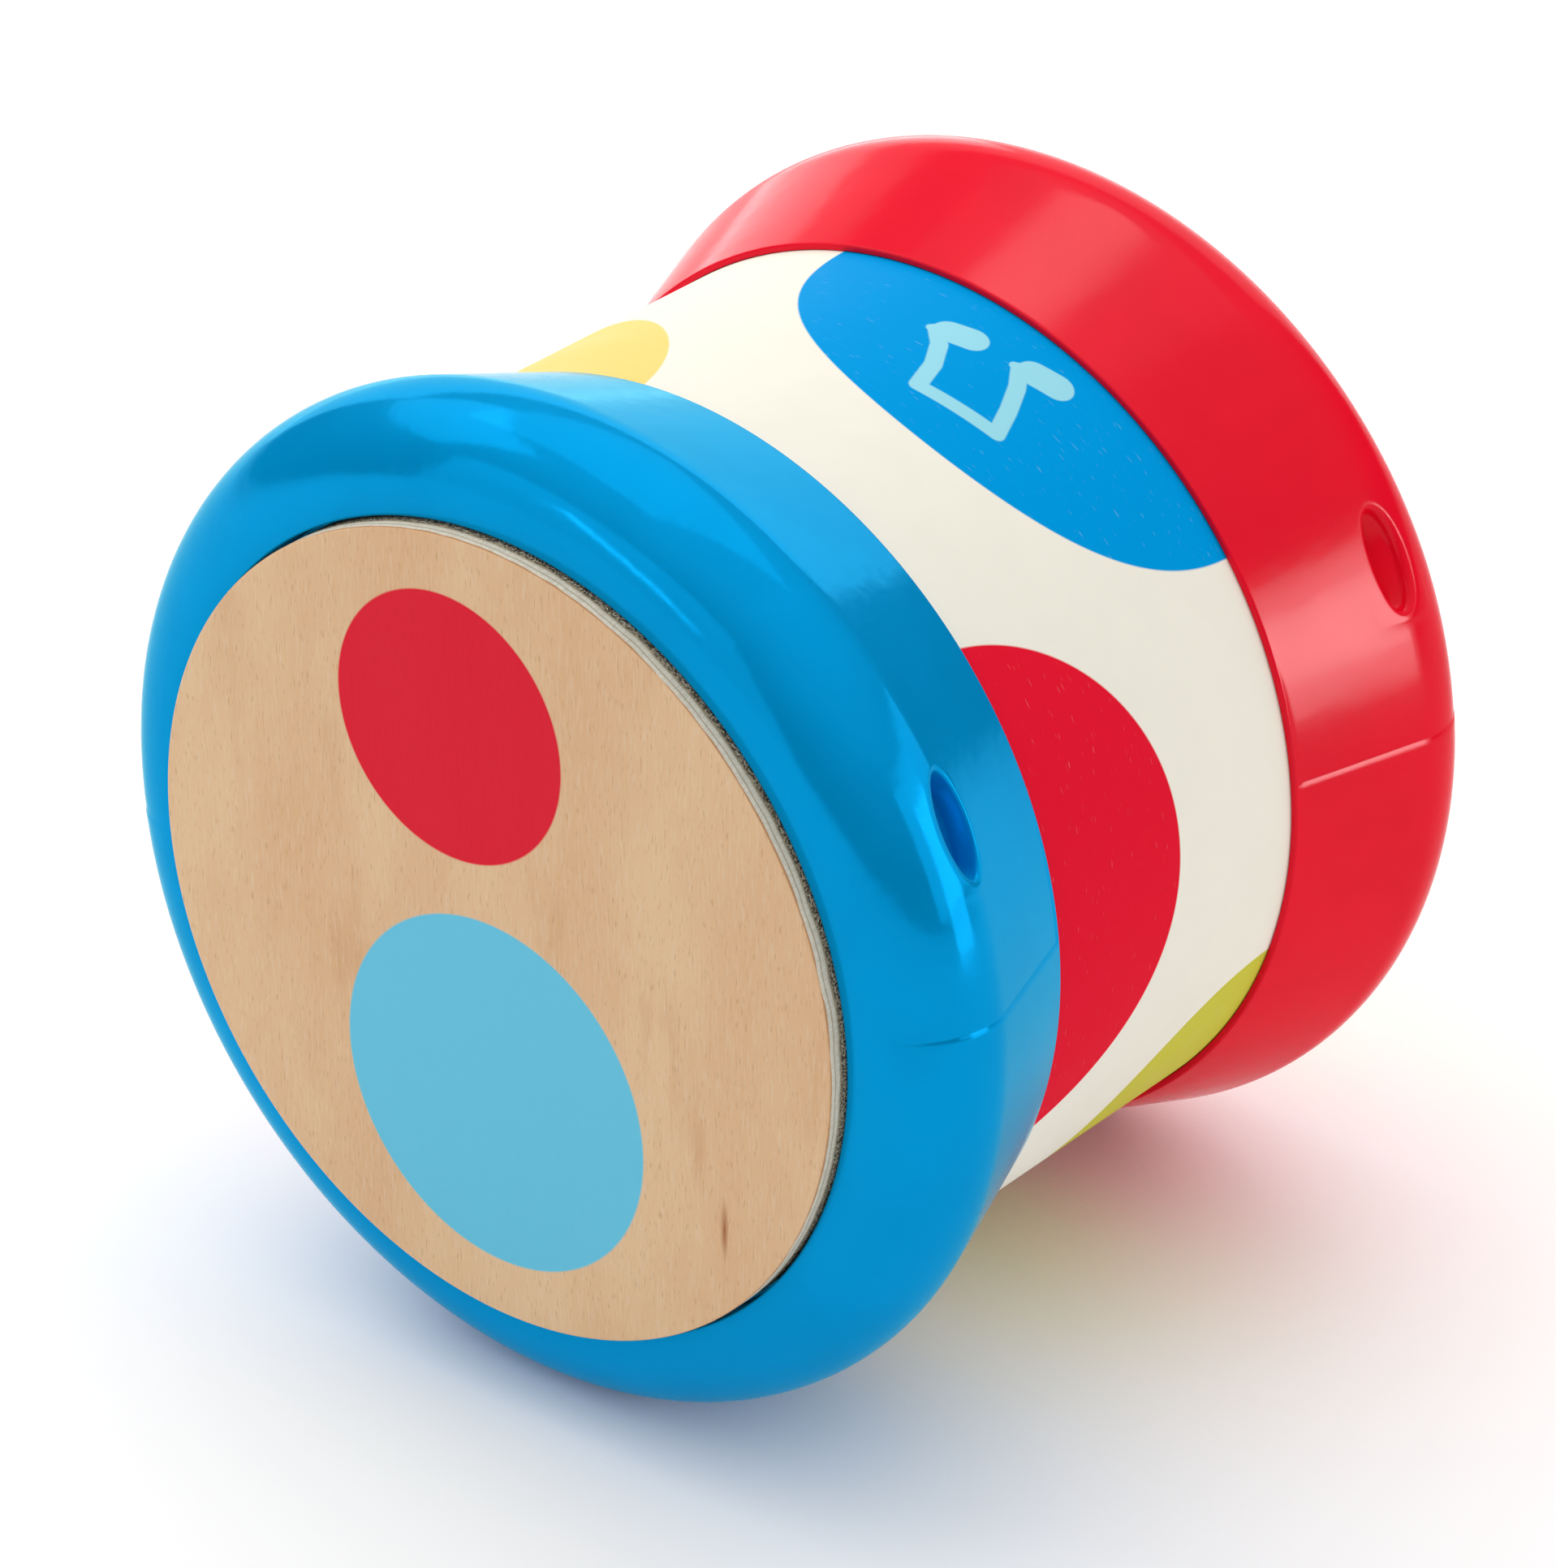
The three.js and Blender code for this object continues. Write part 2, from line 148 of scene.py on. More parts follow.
class DrumSizes(bpy.types.PropertyGroup):
    """Sizes of the pieces that the frame's boxes don't give."""

    fit_gap: length("Fit gap", "Clearance of pieces that sit in or on each other", 0.25)
    recess_gap: length("Recess gap", "Shadow line between a head and its rim", 0.45)
    nose_land: length("Nose land", "Flat ring round the recess", 0.8)
    crown_inset: length("Crown inset", "From the head's face to the widest ring", 13.9)
    shoulder_round: length("Shoulder round", "Radius behind the crown", 7.8)
    lip_inset: length("Lip inset", "From the head's face to the lip on the tube", 35.4)
    lip_gap: length("Lip gap", "Shadow line between a rim's lip and the tube", 0.1)
    lip_thickness: length("Lip thickness", "Edge of the rim over the tube", 0.65)
    lip_round: length("Lip round", "Rounding of the rim's lip and recess edge", 0.3)
    socket_depth: length("Socket depth", "How far the tube goes under the lip", 7.4)
    rim_wall: length("Rim wall", "Wall of the moulding", 2.5)
    seat_thickness: length("Seat thickness", "Ring that carries the head", 3.0)
    seat_opening: length("Seat opening", "Radius of the hole in the seat", 27.2)
    rim_grid: length("Rim grid", "Row spacing of the rim's surface", 0.75)
    seam_angle: angle("Seam angle", "Mould seam, from +X upwards", 6.4)
    seam_step: length("Seam step", "How far the lower mould half stands out at the seam", 0.12)
    seam_width: length("Seam width", "Width of the step at the seam", 0.2)
    seam_reach: length("Seam reach", "How far the step takes to fade out", 22.0)
    slot_angle: angle("Slot angle", "Sound slot, from +X upwards", 27.3)
    slot_length: length("Slot length", "Sound slot, around the rim", 13.4)
    slot_width: length("Slot width", "Sound slot, along the axis", 5.0)
    slot_setback: length("Slot setback", "From the crown towards the tube", 2.2)
    slot_round: length("Slot round", "Rounding of the slot's edge on the crown", 1.7)
    slot_edge: length("Slot edge", "Rounding of the slot's edge towards the tube", 0.45)
    slot_depth: length("Slot depth", "From the surface to the slot's floor", 3.8)
    slot_draft: length("Slot draft", "Narrowing of the slot at its floor", 1.2)
    slot_lean: length("Slot lean", "Lean of the slot's walls towards the tube", 1.1)
    slot_border: length("Slot border", "Smooth surface kept round the slot", 2.8)
    head_break: length("Head edge", "Sanded edge of the plywood", 0.35)
    shell_wall: length("Tube wall", "Bent plywood of the tube", 3.0)
    cushion_width: length("Cushion width", "Foam ring behind a head", 5.0)
    boss_radius: length("Boss radius", "Boss that holds the bell rod", 4.0)
    boss_height: length("Boss height", "Boss, from the seat's back", 4.0)
    screw_circle: length("Screw circle", "Radius on which the head screws stand", 44.15)
    screw_radius: length("Screw radius", "Shank of a head screw", 1.45)
    screw_thread: length("Screw thread", "Pitch of the screw's thread", 0.9)
    screw_point: length("Screw point", "Bare point of a screw", 1.2)
    screw_round: length("Screw round", "Rounding of a screw's head", 0.3)
    bell_radius: length("Bell radius", "Hollow ball of a bell", 7.0)
    bell_wall: length("Bell wall", "Brass of a bell", 0.8)
    bell_slot: length("Bell slot", "Width of the slit in a bell", 1.8)
    bell_slot_top: length("Slit top", "Slit's top, below the middle of the bell", 1.75)
    bell_neck: length("Bell neck", "Radius of a bell's neck", 1.6)
    eye_length: length("Eye length", "Eye of a bell along the rod", 4.0)
    eye_round: length("Eye round", "Rounding of a bell's eye", 0.25)
    spacer_wall: length("Spacer wall", "Tube round the rod", 1.2)


class DrumPrint(bpy.types.PropertyGroup):
    """Places of the printed dots: angles from +X upwards, heights from the drum's axis."""

    dot_reach: length("Dot reach", "Half a tube dot, around the tube", 34.7)
    dot_breadth: length("Dot breadth", "Half a tube dot, along the tube", 31.0)
    front_row: length("Front row", "Middle of the front dots, from the front face", 30.1)
    back_row: length("Back row", "Middle of the back dots, from the front face", 84.9)
    red_angle: angle("Red", "Red dot of the front row", 10.1)
    yellow_angle: angle("Yellow", "Yellow dot of the front row", 127.6)
    amber_angle: angle("Amber", "Amber dot of the front row", 250.0)
    blue_angle: angle("Blue", "Blue dot of the back row", 68.8)
    green_angle: angle("Green", "Green dot of the back row", -50.3)
    coral_angle: angle("Second red", "Second red dot, of the back row", 189.0)
    upper_dot_side: length("Upper dot, side", "Upper head dot, towards +X", -5.54)
    upper_dot_height: length("Upper dot, height", "Upper head dot, above the axis", 27.75)
    upper_dot_radius: length("Upper dot, radius", "Upper head dot", 18.0)
    lower_dot_side: length("Lower dot, side", "Lower head dot, towards +X", 0.55)
    lower_dot_height: length("Lower dot, height", "Lower head dot, above the axis", -21.74)
    lower_dot_radius: length("Lower dot, radius", "Lower head dot", 24.2)
    edge: length("Print edge", "Softness of a printed edge", 0.12)
    knot_side: length("Knot, side", "Small knot of a head, towards +X", 37.6)
    knot_height: length("Knot, height", "Small knot of a head, above the axis", -26.5)
    knot_width: length("Knot, width", "Small knot of a head", 0.7)
    knot_length: length("Knot, length", "Small knot of a head, along the grain", 5.0)


class DrumColours(bpy.types.PropertyGroup):
    """Colours of the finishes."""

    blue_plastic: colour("Blue plastic", "Front rim", "#0099da")
    blue_sheen: colour("Blue sheen", "Tint of the front rim's gloss", "#00ffe8")
    red_plastic: colour("Red plastic", "Back rim", "#ee0c2a")
    cream: colour("Cream", "Paint of the tube", "#f4f0e2")
    dot_red: colour("Red dot", "Red dots of the tube", "#e81a33")
    dot_yellow: colour("Yellow dot", "Yellow dots", "#fad880")
    dot_blue: colour("Blue dot", "Blue dot of the tube", "#0099df")
    dot_green: colour("Green dot", "Green dots", "#cfca47")
    dot_amber: colour("Amber dot", "Amber dot of the tube", "#f6b92e")
    note: colour("Note", "Figure on the blue dot", "#9adbea")
    head_sky: colour("Head light blue", "Lower dot of the front head", "#69c6e3")
    head_red: colour("Head red", "Upper dot of the front head", "#e01931")
    wood_light: colour("Light wood", "Plywood face, light growth", "#e6c39b")
    wood_dark: colour("Dark wood", "Plywood face, dark growth", "#deb48a")
    wood_pore: colour("Wood pores", "Plywood face, short dark dashes", "#b98a60")
    wood_heart: colour("Heart wood", "Plywood face, warm streaks", "#c58f5f")
    wood_knot: colour("Knot", "Plywood face, small knot", "#a4622f")
    wood_fleck: colour("Wood flecks", "Plywood face, fine pale flecks", "#ead3b8")
    ply_pale: colour("Pale layer", "Plywood edge, layers along the edge", "#efe3cb")
    ply_grey: colour("Cross layer", "Plywood edge, layers across the edge", "#c4b190")
    # Painted shade: the dark pitted band where a head's edge runs into the gap next to its rim.
    ply_gap_shade: colour("Glue layer", "Plywood edge, dark pitted layer next to the rim", "#5c5341")
    ply_torn: colour("Torn fibres", "Plywood edge, fibres torn by the saw", "#9c8667")
    scratch: colour("Scratches", "Hair lines in the tube's paint", "#f3efe6")


class DrumStage(bpy.types.PropertyGroup):
    """Camera, floor and even light."""

    camera_eye: bpy.props.FloatVectorProperty(
        name="Camera", description="Place of the camera", default=(0.48737, -0.59482, 0.49542), size=3,
        subtype="TRANSLATION", unit="LENGTH")
    camera_azimuth: angle("Camera azimuth", "Turn from looking along +Y", 39.5123)
    camera_elevation: angle("Camera elevation", "Height above the horizon", 29.2895)
    camera_lens: number("Lens", "Focal length in millimetres", 158.01)
    camera_sensor: number("Sensor", "Width of the sensor in millimetres", 36)
    floor_size: length("Floor", "Side of the floor", 6000)
    floor_colour: colour("Floor colour", "Pale studio floor", "#fdfdfd")
    floor_glow: number("Floor glow", "Lifts the lit floor to white for the camera", 0.02)
    horizon_light: number("Horizon light", "Even light from all round, low down", 0.05)
    zenith_light: number("Zenith light", "Even light from overhead", 1.06)


# Lamps; one with gloss_of shows in that piece's gloss alone
SOFTBOXES = {
    "right_softbox": {"place": (0.69, 0.18, 0.18), "width": 0.3, "height": 0.38, "power": 0.8},
    "right_strip": {
        "place": (0.67, 0.165, 0.18), "width": 0.12, "height": 0.33, "power": 1.2,
        "gloss_of": "back_rim_moulding"},
    "right_core": {
        "place": (0.665, 0.165, 0.18), "width": 0.12, "height": 0.17, "power": 0.75,
        "gloss_of": "back_rim_moulding"},
    "right_wall": {
        "place": (0.68, 0.31, 0.3), "width": 1.1, "height": 0.4, "power": 1.8,
        "gloss_of": "front_rim_moulding"},
    "low_strip": {
        "place": (-0.9, 0.54, 0.22), "width": 0.9, "height": 0.46, "power": 3.6,
        "gloss_of": "back_rim_moulding"},
    "high_strip": {
        "place": (-0.22, 0.28, 1.08), "width": 0.3, "height": 0.3, "power": 1.6,
        "gloss_of": "back_rim_moulding"},
    "back_panel": {"place": (-0.62, 0.79, 0.36), "width": 1.5, "height": 0.72, "power": 5.0},
    "left_softbox": {"place": (-0.9, -0.19, 0.84), "width": 0.9, "height": 0.5, "power": 1.7},
    "top_softbox": {"place": (-0.25, 0.15, 1.1), "width": 1.2, "height": 1.0, "power": 2.8},
    "front_softbox": {"place": (-0.6, -1.5, 0.45), "width": 1.4, "height": 0.85, "power": 3.2},
    "front_strip": {"place": (-0.5, -1.36, 0.42), "width": 0.1, "height": 0.5, "power": 0.45, "roll": 0.9},
}


# Mesh helpers

def spot(side, radius, inset, turn):
    """Point of a turned piece at one end of the drum."""
    height = AXIS_HEIGHT + radius * math.sin(turn)
    return Vector((radius * math.cos(turn), side * (HALF_LENGTH - inset), height))


def rounded(corners, before=None, after=None):
    """Outline of (radius, along) points from (radius, along, setback) corners, with soft corners."""
    outline = []
    chain = [before or corners[-1], *corners, after or corners[0]]
    for last, corner, following in zip(chain, corners, chain[2:]):
        here = Vector(corner[:2])
        setback = corner[2]
        if not setback:
            outline.append(here)
            continue
        back = (Vector(last[:2]) - here).normalized() * setback
        forth = (Vector(following[:2]) - here).normalized() * setback
        outline.append(here + back * CORNER_LEAD)
        for step in range(CORNER_STEPS + 1):
            share = step / CORNER_STEPS
            outline.append(here + back * (1 - share) ** 2 + forth * share ** 2)
        outline.append(here + forth * CORNER_LEAD)
    return outline


def ring_outline(inner, outer, low, high, soft):
    """Outline of a ring between two radii and two places along its axis."""
    return rounded([(inner, low, soft), (outer, low, soft), (outer, high, soft), (inner, high, soft)])


def node_ring(node, inner, soft):
    """Outline of a ring as wide and as long as a node, round a hole of that radius."""
    low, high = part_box(node)
    return ring_outline(inner, half_width(node), low.y, high.y, soft)


def bar_outline(radius, low, high, soft):
    """Outline of a solid disc or bar, from its axis out and back."""
    return rounded([(0, low, 0), (radius, low, soft), (radius, high, soft), (0, high, 0)])


def finish_mesh(mesh):
    """Closes seams and poles, points the faces out and shades all but the sharp edges smooth."""
    bm = bmesh.new()
    bm.from_mesh(mesh)
    bmesh.ops.remove_doubles(bm, verts=bm.verts, dist=MERGE_GAP)
    bmesh.ops.dissolve_degenerate(bm, edges=bm.edges, dist=MERGE_GAP / 2)
    bmesh.ops.recalc_face_normals(bm, faces=bm.faces)
    bm.to_mesh(mesh)
    bm.free()
    mesh.shade_smooth()
    mesh.set_sharp_from_angle(angle=SHARP_ANGLE)


def new_object(name, mesh):
    piece = bpy.data.objects.new(name, mesh)
    bpy.context.scene.collection.objects.link(piece)
    return piece


def solid(name, place, shape, **settings):
    """Object with one of Blender's own basic shapes at a place."""
    bm = bmesh.new()
    shape(bm, **settings)
    bmesh.ops.translate(bm, verts=bm.verts, vec=place)
    mesh = bpy.data.meshes.new(name)
    bm.to_mesh(mesh)
    bm.free()
    return new_object(name, mesh)


def ball(node, name, material):
    """Smooth ball in place of a faceted one."""
    piece = solid(
        name, middle(node), bmesh.ops.create_icosphere, subdivisions=BALL_STEPS, radius=half_width(node))
    finish_mesh(piece.data)
    piece.data.materials.append(material)
    return piece


def plain_mesh(piece):
    """Replaces a piece's mesh and modifiers by the mesh that they give."""
    graph = bpy.context.evaluated_depsgraph_get()
    mesh = bpy.data.meshes.new_from_object(piece.evaluated_get(graph), depsgraph=graph)
    piece.modifiers.clear()
    piece.data = mesh
    mesh.name = piece.name
    finish_mesh(mesh)


def run_tree(piece, tree, values):
    """Runs a node tree on a piece with its named inputs set, and keeps the plain mesh."""
    modifier = piece.modifiers.new(tree.name, "NODES")
    modifier.node_group = tree
    for item in tree.interface.items_tree:
        if item.in_out == "INPUT" and item.name in values:
            modifier[item.identifier] = values[item.name]
    plain_mesh(piece)


def join(piece, *others):
    """Adds other pieces' meshes to a piece as islands of one mesh."""
    bm = bmesh.new()
    for source in (piece, *others):
        bm.from_mesh(source.data)
    bm.to_mesh(piece.data)
    bm.free()
    for other in others:
        bpy.data.objects.remove(other)


def settle(piece, body, slot, *nodes):
    """Puts a finished piece on its body in place of its CAD nodes; the slot argument is not used."""
    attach(piece, body)
    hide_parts(*nodes)


# Node helpers

def plug(tree, node, sockets):
    """Gives sockets of a node a value, or a link from a socket or from a node's first output in use."""
    for key, value in sockets.items():
        if isinstance(value, bpy.types.Node):
            value = next(output for output in value.outputs if output.enabled)
        if isinstance(value, bpy.types.NodeSocket):
            tree.links.new(value, node.inputs[key])
        else:
            node.inputs[key].default_value = value


def add_node(tree, kind, sockets=None, **settings):
    """Adds a node with its settings, values and links."""
    node = tree.nodes.new(kind)
    for name, value in settings.items():
        setattr(node, name, value)
    plug(tree, node, sockets or {})
    return node


def new_tree(name, **inputs):
    """Geometry tree with a geometry input and output and one input per named socket type."""
    tree = bpy.data.node_groups.new(name, "GeometryNodeTree")
    tree.interface.new_socket("Geometry", in_out="INPUT", socket_type="NodeSocketGeometry")
    for label, socket_type in inputs.items():
        tree.interface.new_socket(label, in_out="INPUT", socket_type=socket_type)
    tree.interface.new_socket("Geometry", in_out="OUTPUT", socket_type="NodeSocketGeometry")
    return tree, add_node(tree, "NodeGroupInput").outputs


def end_tree(tree, geometry, material):
    """Ends a tree in plain geometry with its finish."""
    real = add_node(tree, "GeometryNodeRealizeInstances", {"Geometry": geometry})
    dressed = add_node(tree, "GeometryNodeSetMaterial", {"Geometry": real, "Material": material})
    add_node(tree, "NodeGroupOutput", {"Geometry": dressed})
    return tree


def turning_tree():
    """Sweeps the piece's own outline, radius in X and place along the axis in Y, round the Y axis."""
    tree, given = new_tree(
        "Turned outline", Sides="NodeSocketInt", Path="NodeSocketFloat", Place="NodeSocketVector",
        Finish="NodeSocketMaterial")
    outline = add_node(tree, "GeometryNodeMeshToCurve", {"Mesh": given["Geometry"]})
    inward = add_node(tree, MATH, {0: given["Path"], 1: -1.0}, operation="MULTIPLY")
    shift = add_node(tree, JOIN_XYZ, {"X": inward})
    profile = add_node(tree, "GeometryNodeSetPosition", {"Geometry": outline, "Offset": shift})
    circle = add_node(
        tree, "GeometryNodeCurvePrimitiveCircle", {"Resolution": given["Sides"], "Radius": given["Path"]})
    swept = add_node(tree, "GeometryNodeCurveToMesh", {"Curve": circle, "Profile Curve": profile})
    upright = add_node(
        tree, "GeometryNodeTransform",
        {"Geometry": swept, "Translation": given["Place"], "Rotation": (math.pi / 2, 0, 0)})
    return end_tree(tree, upright, given["Finish"])


def screw_tree():
    """Stands copies of the piece's own screw on a circle round the Y axis."""
    tree, given = new_tree(
        "Screws on a circle", Count="NodeSocketInt", Circle="NodeSocketFloat", First="NodeSocketFloat",
        Height="NodeSocketFloat", Finish="NodeSocketMaterial")
    circle = add_node(
        tree, "GeometryNodeMeshCircle", {"Vertices": given["Count"], "Radius": given["Circle"]})
    turn = add_node(tree, MATH, {0: given["First"], 1: -1.0}, operation="MULTIPLY")
    tilt = add_node(tree, JOIN_XYZ, {"X": math.pi / 2, "Y": turn})
    place = add_node(tree, JOIN_XYZ, {"Z": given["Height"]})
    upright = add_node(
        tree, "GeometryNodeTransform", {"Geometry": circle, "Translation": place, "Rotation": tilt})
    copies = add_node(
        tree, "GeometryNodeInstanceOnPoints", {"Points": upright, "Instance": given["Geometry"]})
    return end_tree(tree, copies, given["Finish"])


def turned_piece(name, outline, material, sides=TURNED_SIDES, height=AXIS_HEIGHT, closed=True):
    """Smooth turned piece from (radius, along) points, about an axis along Y at that height."""
    mesh = bpy.data.meshes.new(name)
    count = len(outline)
    edges = [(i, (i + 1) % count) for i in range(count if closed else count - 1)]
    mesh.from_pydata([(radius, along, 0) for radius, along in outline], edges, [])
    piece = new_object(name, mesh)
    tree = bpy.data.node_groups.get("Turned outline") or turning_tree()
    place = (0, 0, height)
    run_tree(piece, tree, {"Sides": sides, "Path": SWEEP_RADIUS, "Place": place, "Finish": material})
    return piece


# Finishes

def start_finish(name):
    """New material with its tree, its shader and the object's own coordinates."""
    material = bpy.data.materials.new(name)
    material.use_nodes = True
    tree = material.node_tree
    place = add_node(tree, "ShaderNodeTexCoord").outputs["Object"]
    return material, tree, tree.nodes["Principled BSDF"], place


def drum_places(tree, place):
    """A place's own X, Y and Z, its height over the drum's axis and its place across the axis."""
    parts = add_node(tree, SPLIT_XYZ, {0: place}).outputs
    height = add_node(tree, MATH, {0: parts["Z"], 1: AXIS_HEIGHT}, operation="SUBTRACT")
    return parts, height, add_node(tree, JOIN_XYZ, {"X": parts["X"], "Y": height})


def streaks(tree, place, stretch, size, low, high, strength=1.0, detail=2.0):
    """Share, up to the strength, that grows from low to high in noise of that size and stretch."""
    scaled = add_node(tree, MAPPING, {"Vector": place, "Scale": [1 / factor for factor in stretch]})
    noise = add_node(tree, "ShaderNodeTexNoise", {"Vector": scaled, "Scale": 1 / size, "Detail": detail})
    return add_node(
        tree, MAP_RANGE, {"Value": noise, "From Min": low, "From Max": high, "To Max": strength},
        interpolation_type="SMOOTHSTEP")


def lay_colours(tree, ground, layers):
    """Colour that is left when each colour is laid over the ones before it by its share."""
    for share, layer in layers:
        ground = add_node(tree, "ShaderNodeMix", {"Factor": share, 6: ground, 7: layer}, data_type="RGBA")
    return ground


def uneven_surface(tree, shader, wear, gloss, relief, depth):
    """Varies the roughness between two values with one pattern and dents the surface with another."""
    smooth, rough = gloss
    roughness = add_node(tree, MAP_RANGE, {"Value": wear, "To Min": smooth, "To Max": rough})
    dents = add_node(tree, "ShaderNodeBump", {"Height": relief, "Distance": depth})
    plug(tree, shader, {"Roughness": roughness, "Normal": dents})
    return dents


def dimmed(tone, share):
    """The same colour at a share of its brightness."""
    return [channel * share for channel in tone[:3]] + [1.0]


def moulded_abs(name, plastic, gloss, haze, pearl=0.0, sheen=WHITE):
    """Injection-moulded ABS from a polished mould: deep colour, a glossy skin, pearl and sink marks."""
    material, tree, shader, place = start_finish(name)
    flow = streaks(tree, place, EVEN, 16 * MM, 0.35, 0.65)
    tone = lay_colours(tree, dimmed(plastic, 0.95), [(flow, plastic)])
    wear = streaks(tree, place, (1, 6, 1), 0.8 * MM, 0.3, 0.75, detail=4)
    sinks = streaks(tree, place, EVEN, 5 * MM, 0.2, 0.8)
    dents = uneven_surface(tree, shader, wear, (0.1, 0.17), sinks, 0.02 * MM)
    plug(tree, shader, {
        "Base Color": tone, "Metallic": pearl, "Specular IOR Level": 0.014, "Specular Tint": sheen,
        "Coat Weight": gloss, "Coat IOR": 2.4, "Coat Roughness": haze, "Coat Normal": dents})
    return material


def disc_mask(tree, place, centre, half_sizes, edge):
    """1 inside an ellipse of a flat pattern and 0 outside it."""
    scaled = add_node(
        tree, MAPPING, {"Vector": place, "Location": (*centre, 0), "Scale": (*half_sizes, 1)},
        vector_type="TEXTURE")
    reach = add_node(tree, VECTOR_MATH, {0: scaled}, operation="LENGTH")
    soft = edge / min(half_sizes)
    return add_node(tree, MAP_RANGE, {"Value": reach, "From Min": 1 + soft, "From Max": 1 - soft})


def bar_mask(tree, offset, start, end, half, edge):
    """1 on a bar of that half width, with round ends, between two points and 0 outside it."""
    run = Vector((*end, 0)) - Vector((*start, 0))
    from_start = add_node(tree, VECTOR_MATH, {0: offset, 1: (*start, 0)}, operation="SUBTRACT")
    along = add_node(tree, VECTOR_MATH, {0: from_start, 1: run}, operation="DOT_PRODUCT")
    share = add_node(
        tree, MATH, {0: along, 1: 1 / run.length_squared}, operation="MULTIPLY", use_clamp=True)
    nearest = add_node(tree, VECTOR_MATH, {0: run, "Scale": share}, operation="SCALE")
    gap = add_node(tree, VECTOR_MATH, {0: from_start, 1: nearest}, operation="DISTANCE")
    return add_node(tree, MAP_RANGE, {"Value": gap, "From Min": half + edge, "From Max": half - edge})


def turned_note(tree, offset, edge):
    """Mask of a pair of beamed notes that lie across the blue dot: places in mm from the dot's middle."""
    beam = ((4.7, -23.2), (-6.7, -20.9))
    stems = (
        ((11.0, -11.8), (8.6, -14.2), (6.3, -18.2), beam[0]),
        ((-0.4, -9.0), (-2.6, -12.1), (-4.8, -16.4), beam[1]),
    )
    heads = (((9.5, -10.9), (6.9, -9.9)), ((-2.1, -8.0), (-5.1, -7.0)))
    tips = (((10.8, -11.6), (11.6, -12.0)), ((-0.5, -8.9), (0.3, -9.1)))
    line_half_width = 1.15
    head_half_width = 2.35
    tip_half_width = 0.75
    runs = [(*beam, line_half_width)]
    for stem in stems:
        runs += [(start, end, line_half_width) for start, end in zip(stem, stem[1:])]
    runs += [(*head, head_half_width) for head in heads]
    runs += [(*tip, tip_half_width) for tip in tips]
    whole = 0.0
    for start, end, half in runs:
        ends = [[part * MM for part in point] for point in (start, end)]
        mask = bar_mask(tree, offset, *ends, half * MM, edge)
        whole = add_node(tree, MATH, {0: mask, 1: whole}, operation="MAXIMUM")
    return whole


def painted_tube(printed, colours):
    """Sprayed and printed plywood: a satin cream coat with crisp dots, hair scratches and faint grain."""
    material, tree, shader, place = start_finish("satin_paint_on_bent_plywood")
    parts, height, across = drum_places(tree, place)
    turn = add_node(tree, MATH, {0: height, 1: parts["X"]}, operation="ARCTAN2")
    front = printed.front_row - HALF_LENGTH
    back = printed.back_row - HALF_LENGTH
    dots = (
        (printed.red_angle, front, colours.dot_red),
        (printed.yellow_angle, front, colours.dot_yellow),
        (printed.amber_angle, front, colours.dot_amber),
        (printed.blue_angle, back, colours.dot_blue),
        (printed.green_angle, back, colours.dot_green),
        (printed.coral_angle, back, colours.dot_red),
    )
    mottle = streaks(tree, place, EVEN, 9 * MM, 0.35, 0.65)
    layers = [(mottle, colours.cream)]
    half_sizes = (printed.dot_reach, printed.dot_breadth)
    for dot_angle, dot_place, dot_colour in dots:
        swing = add_node(tree, MATH, {0: turn, 1: dot_angle}, operation="SUBTRACT")
        near = add_node(tree, MATH, {0: swing, 1: math.pi, 2: -math.pi}, operation="WRAP")
        arc = add_node(tree, MATH, {0: near, 1: SHELL_RADIUS}, operation="MULTIPLY")
        away = add_node(tree, MATH, {0: parts["Y"], 1: dot_place}, operation="SUBTRACT")
        offset = add_node(tree, JOIN_XYZ, {"X": arc, "Y": away})
        layers.append((disc_mask(tree, offset, (0, 0), half_sizes, printed.edge), dot_colour))
        if dot_angle == printed.blue_angle:
            layers.append((turned_note(tree, offset, printed.edge), colours.note))
    around = add_node(tree, JOIN_XYZ, {"X": turn, "Y": parts["Y"]})
    along_arc = 1 / SHELL_RADIUS
    hairs = streaks(tree, around, (8 * along_arc, 1, 1), 0.3 * MM, 0.68, 0.8, strength=0.12, detail=1)
    reach = add_node(tree, VECTOR_MATH, {0: across}, operation="LENGTH")
    paint_depth = 0.1 * MM
    painted = SHELL_RADIUS - paint_depth
    bare = add_node(
        tree, MAP_RANGE, {"Value": reach, "From Min": painted, "From Max": painted - paint_depth})
    layers += [(hairs, colours.scratch), (bare, colours.wood_light)]
    paint = lay_colours(tree, dimmed(colours.cream, 0.985), layers)
    fibres = streaks(tree, around, (12 * along_arc, 1, 1), 1.4 * MM, 0.2, 0.8)
    uneven_surface(tree, shader, mottle, (0.32, 0.42), fibres, 0.015 * MM)
    plug(tree, shader, {"Base Color": paint, "Specular IOR Level": 0.006})
    return material


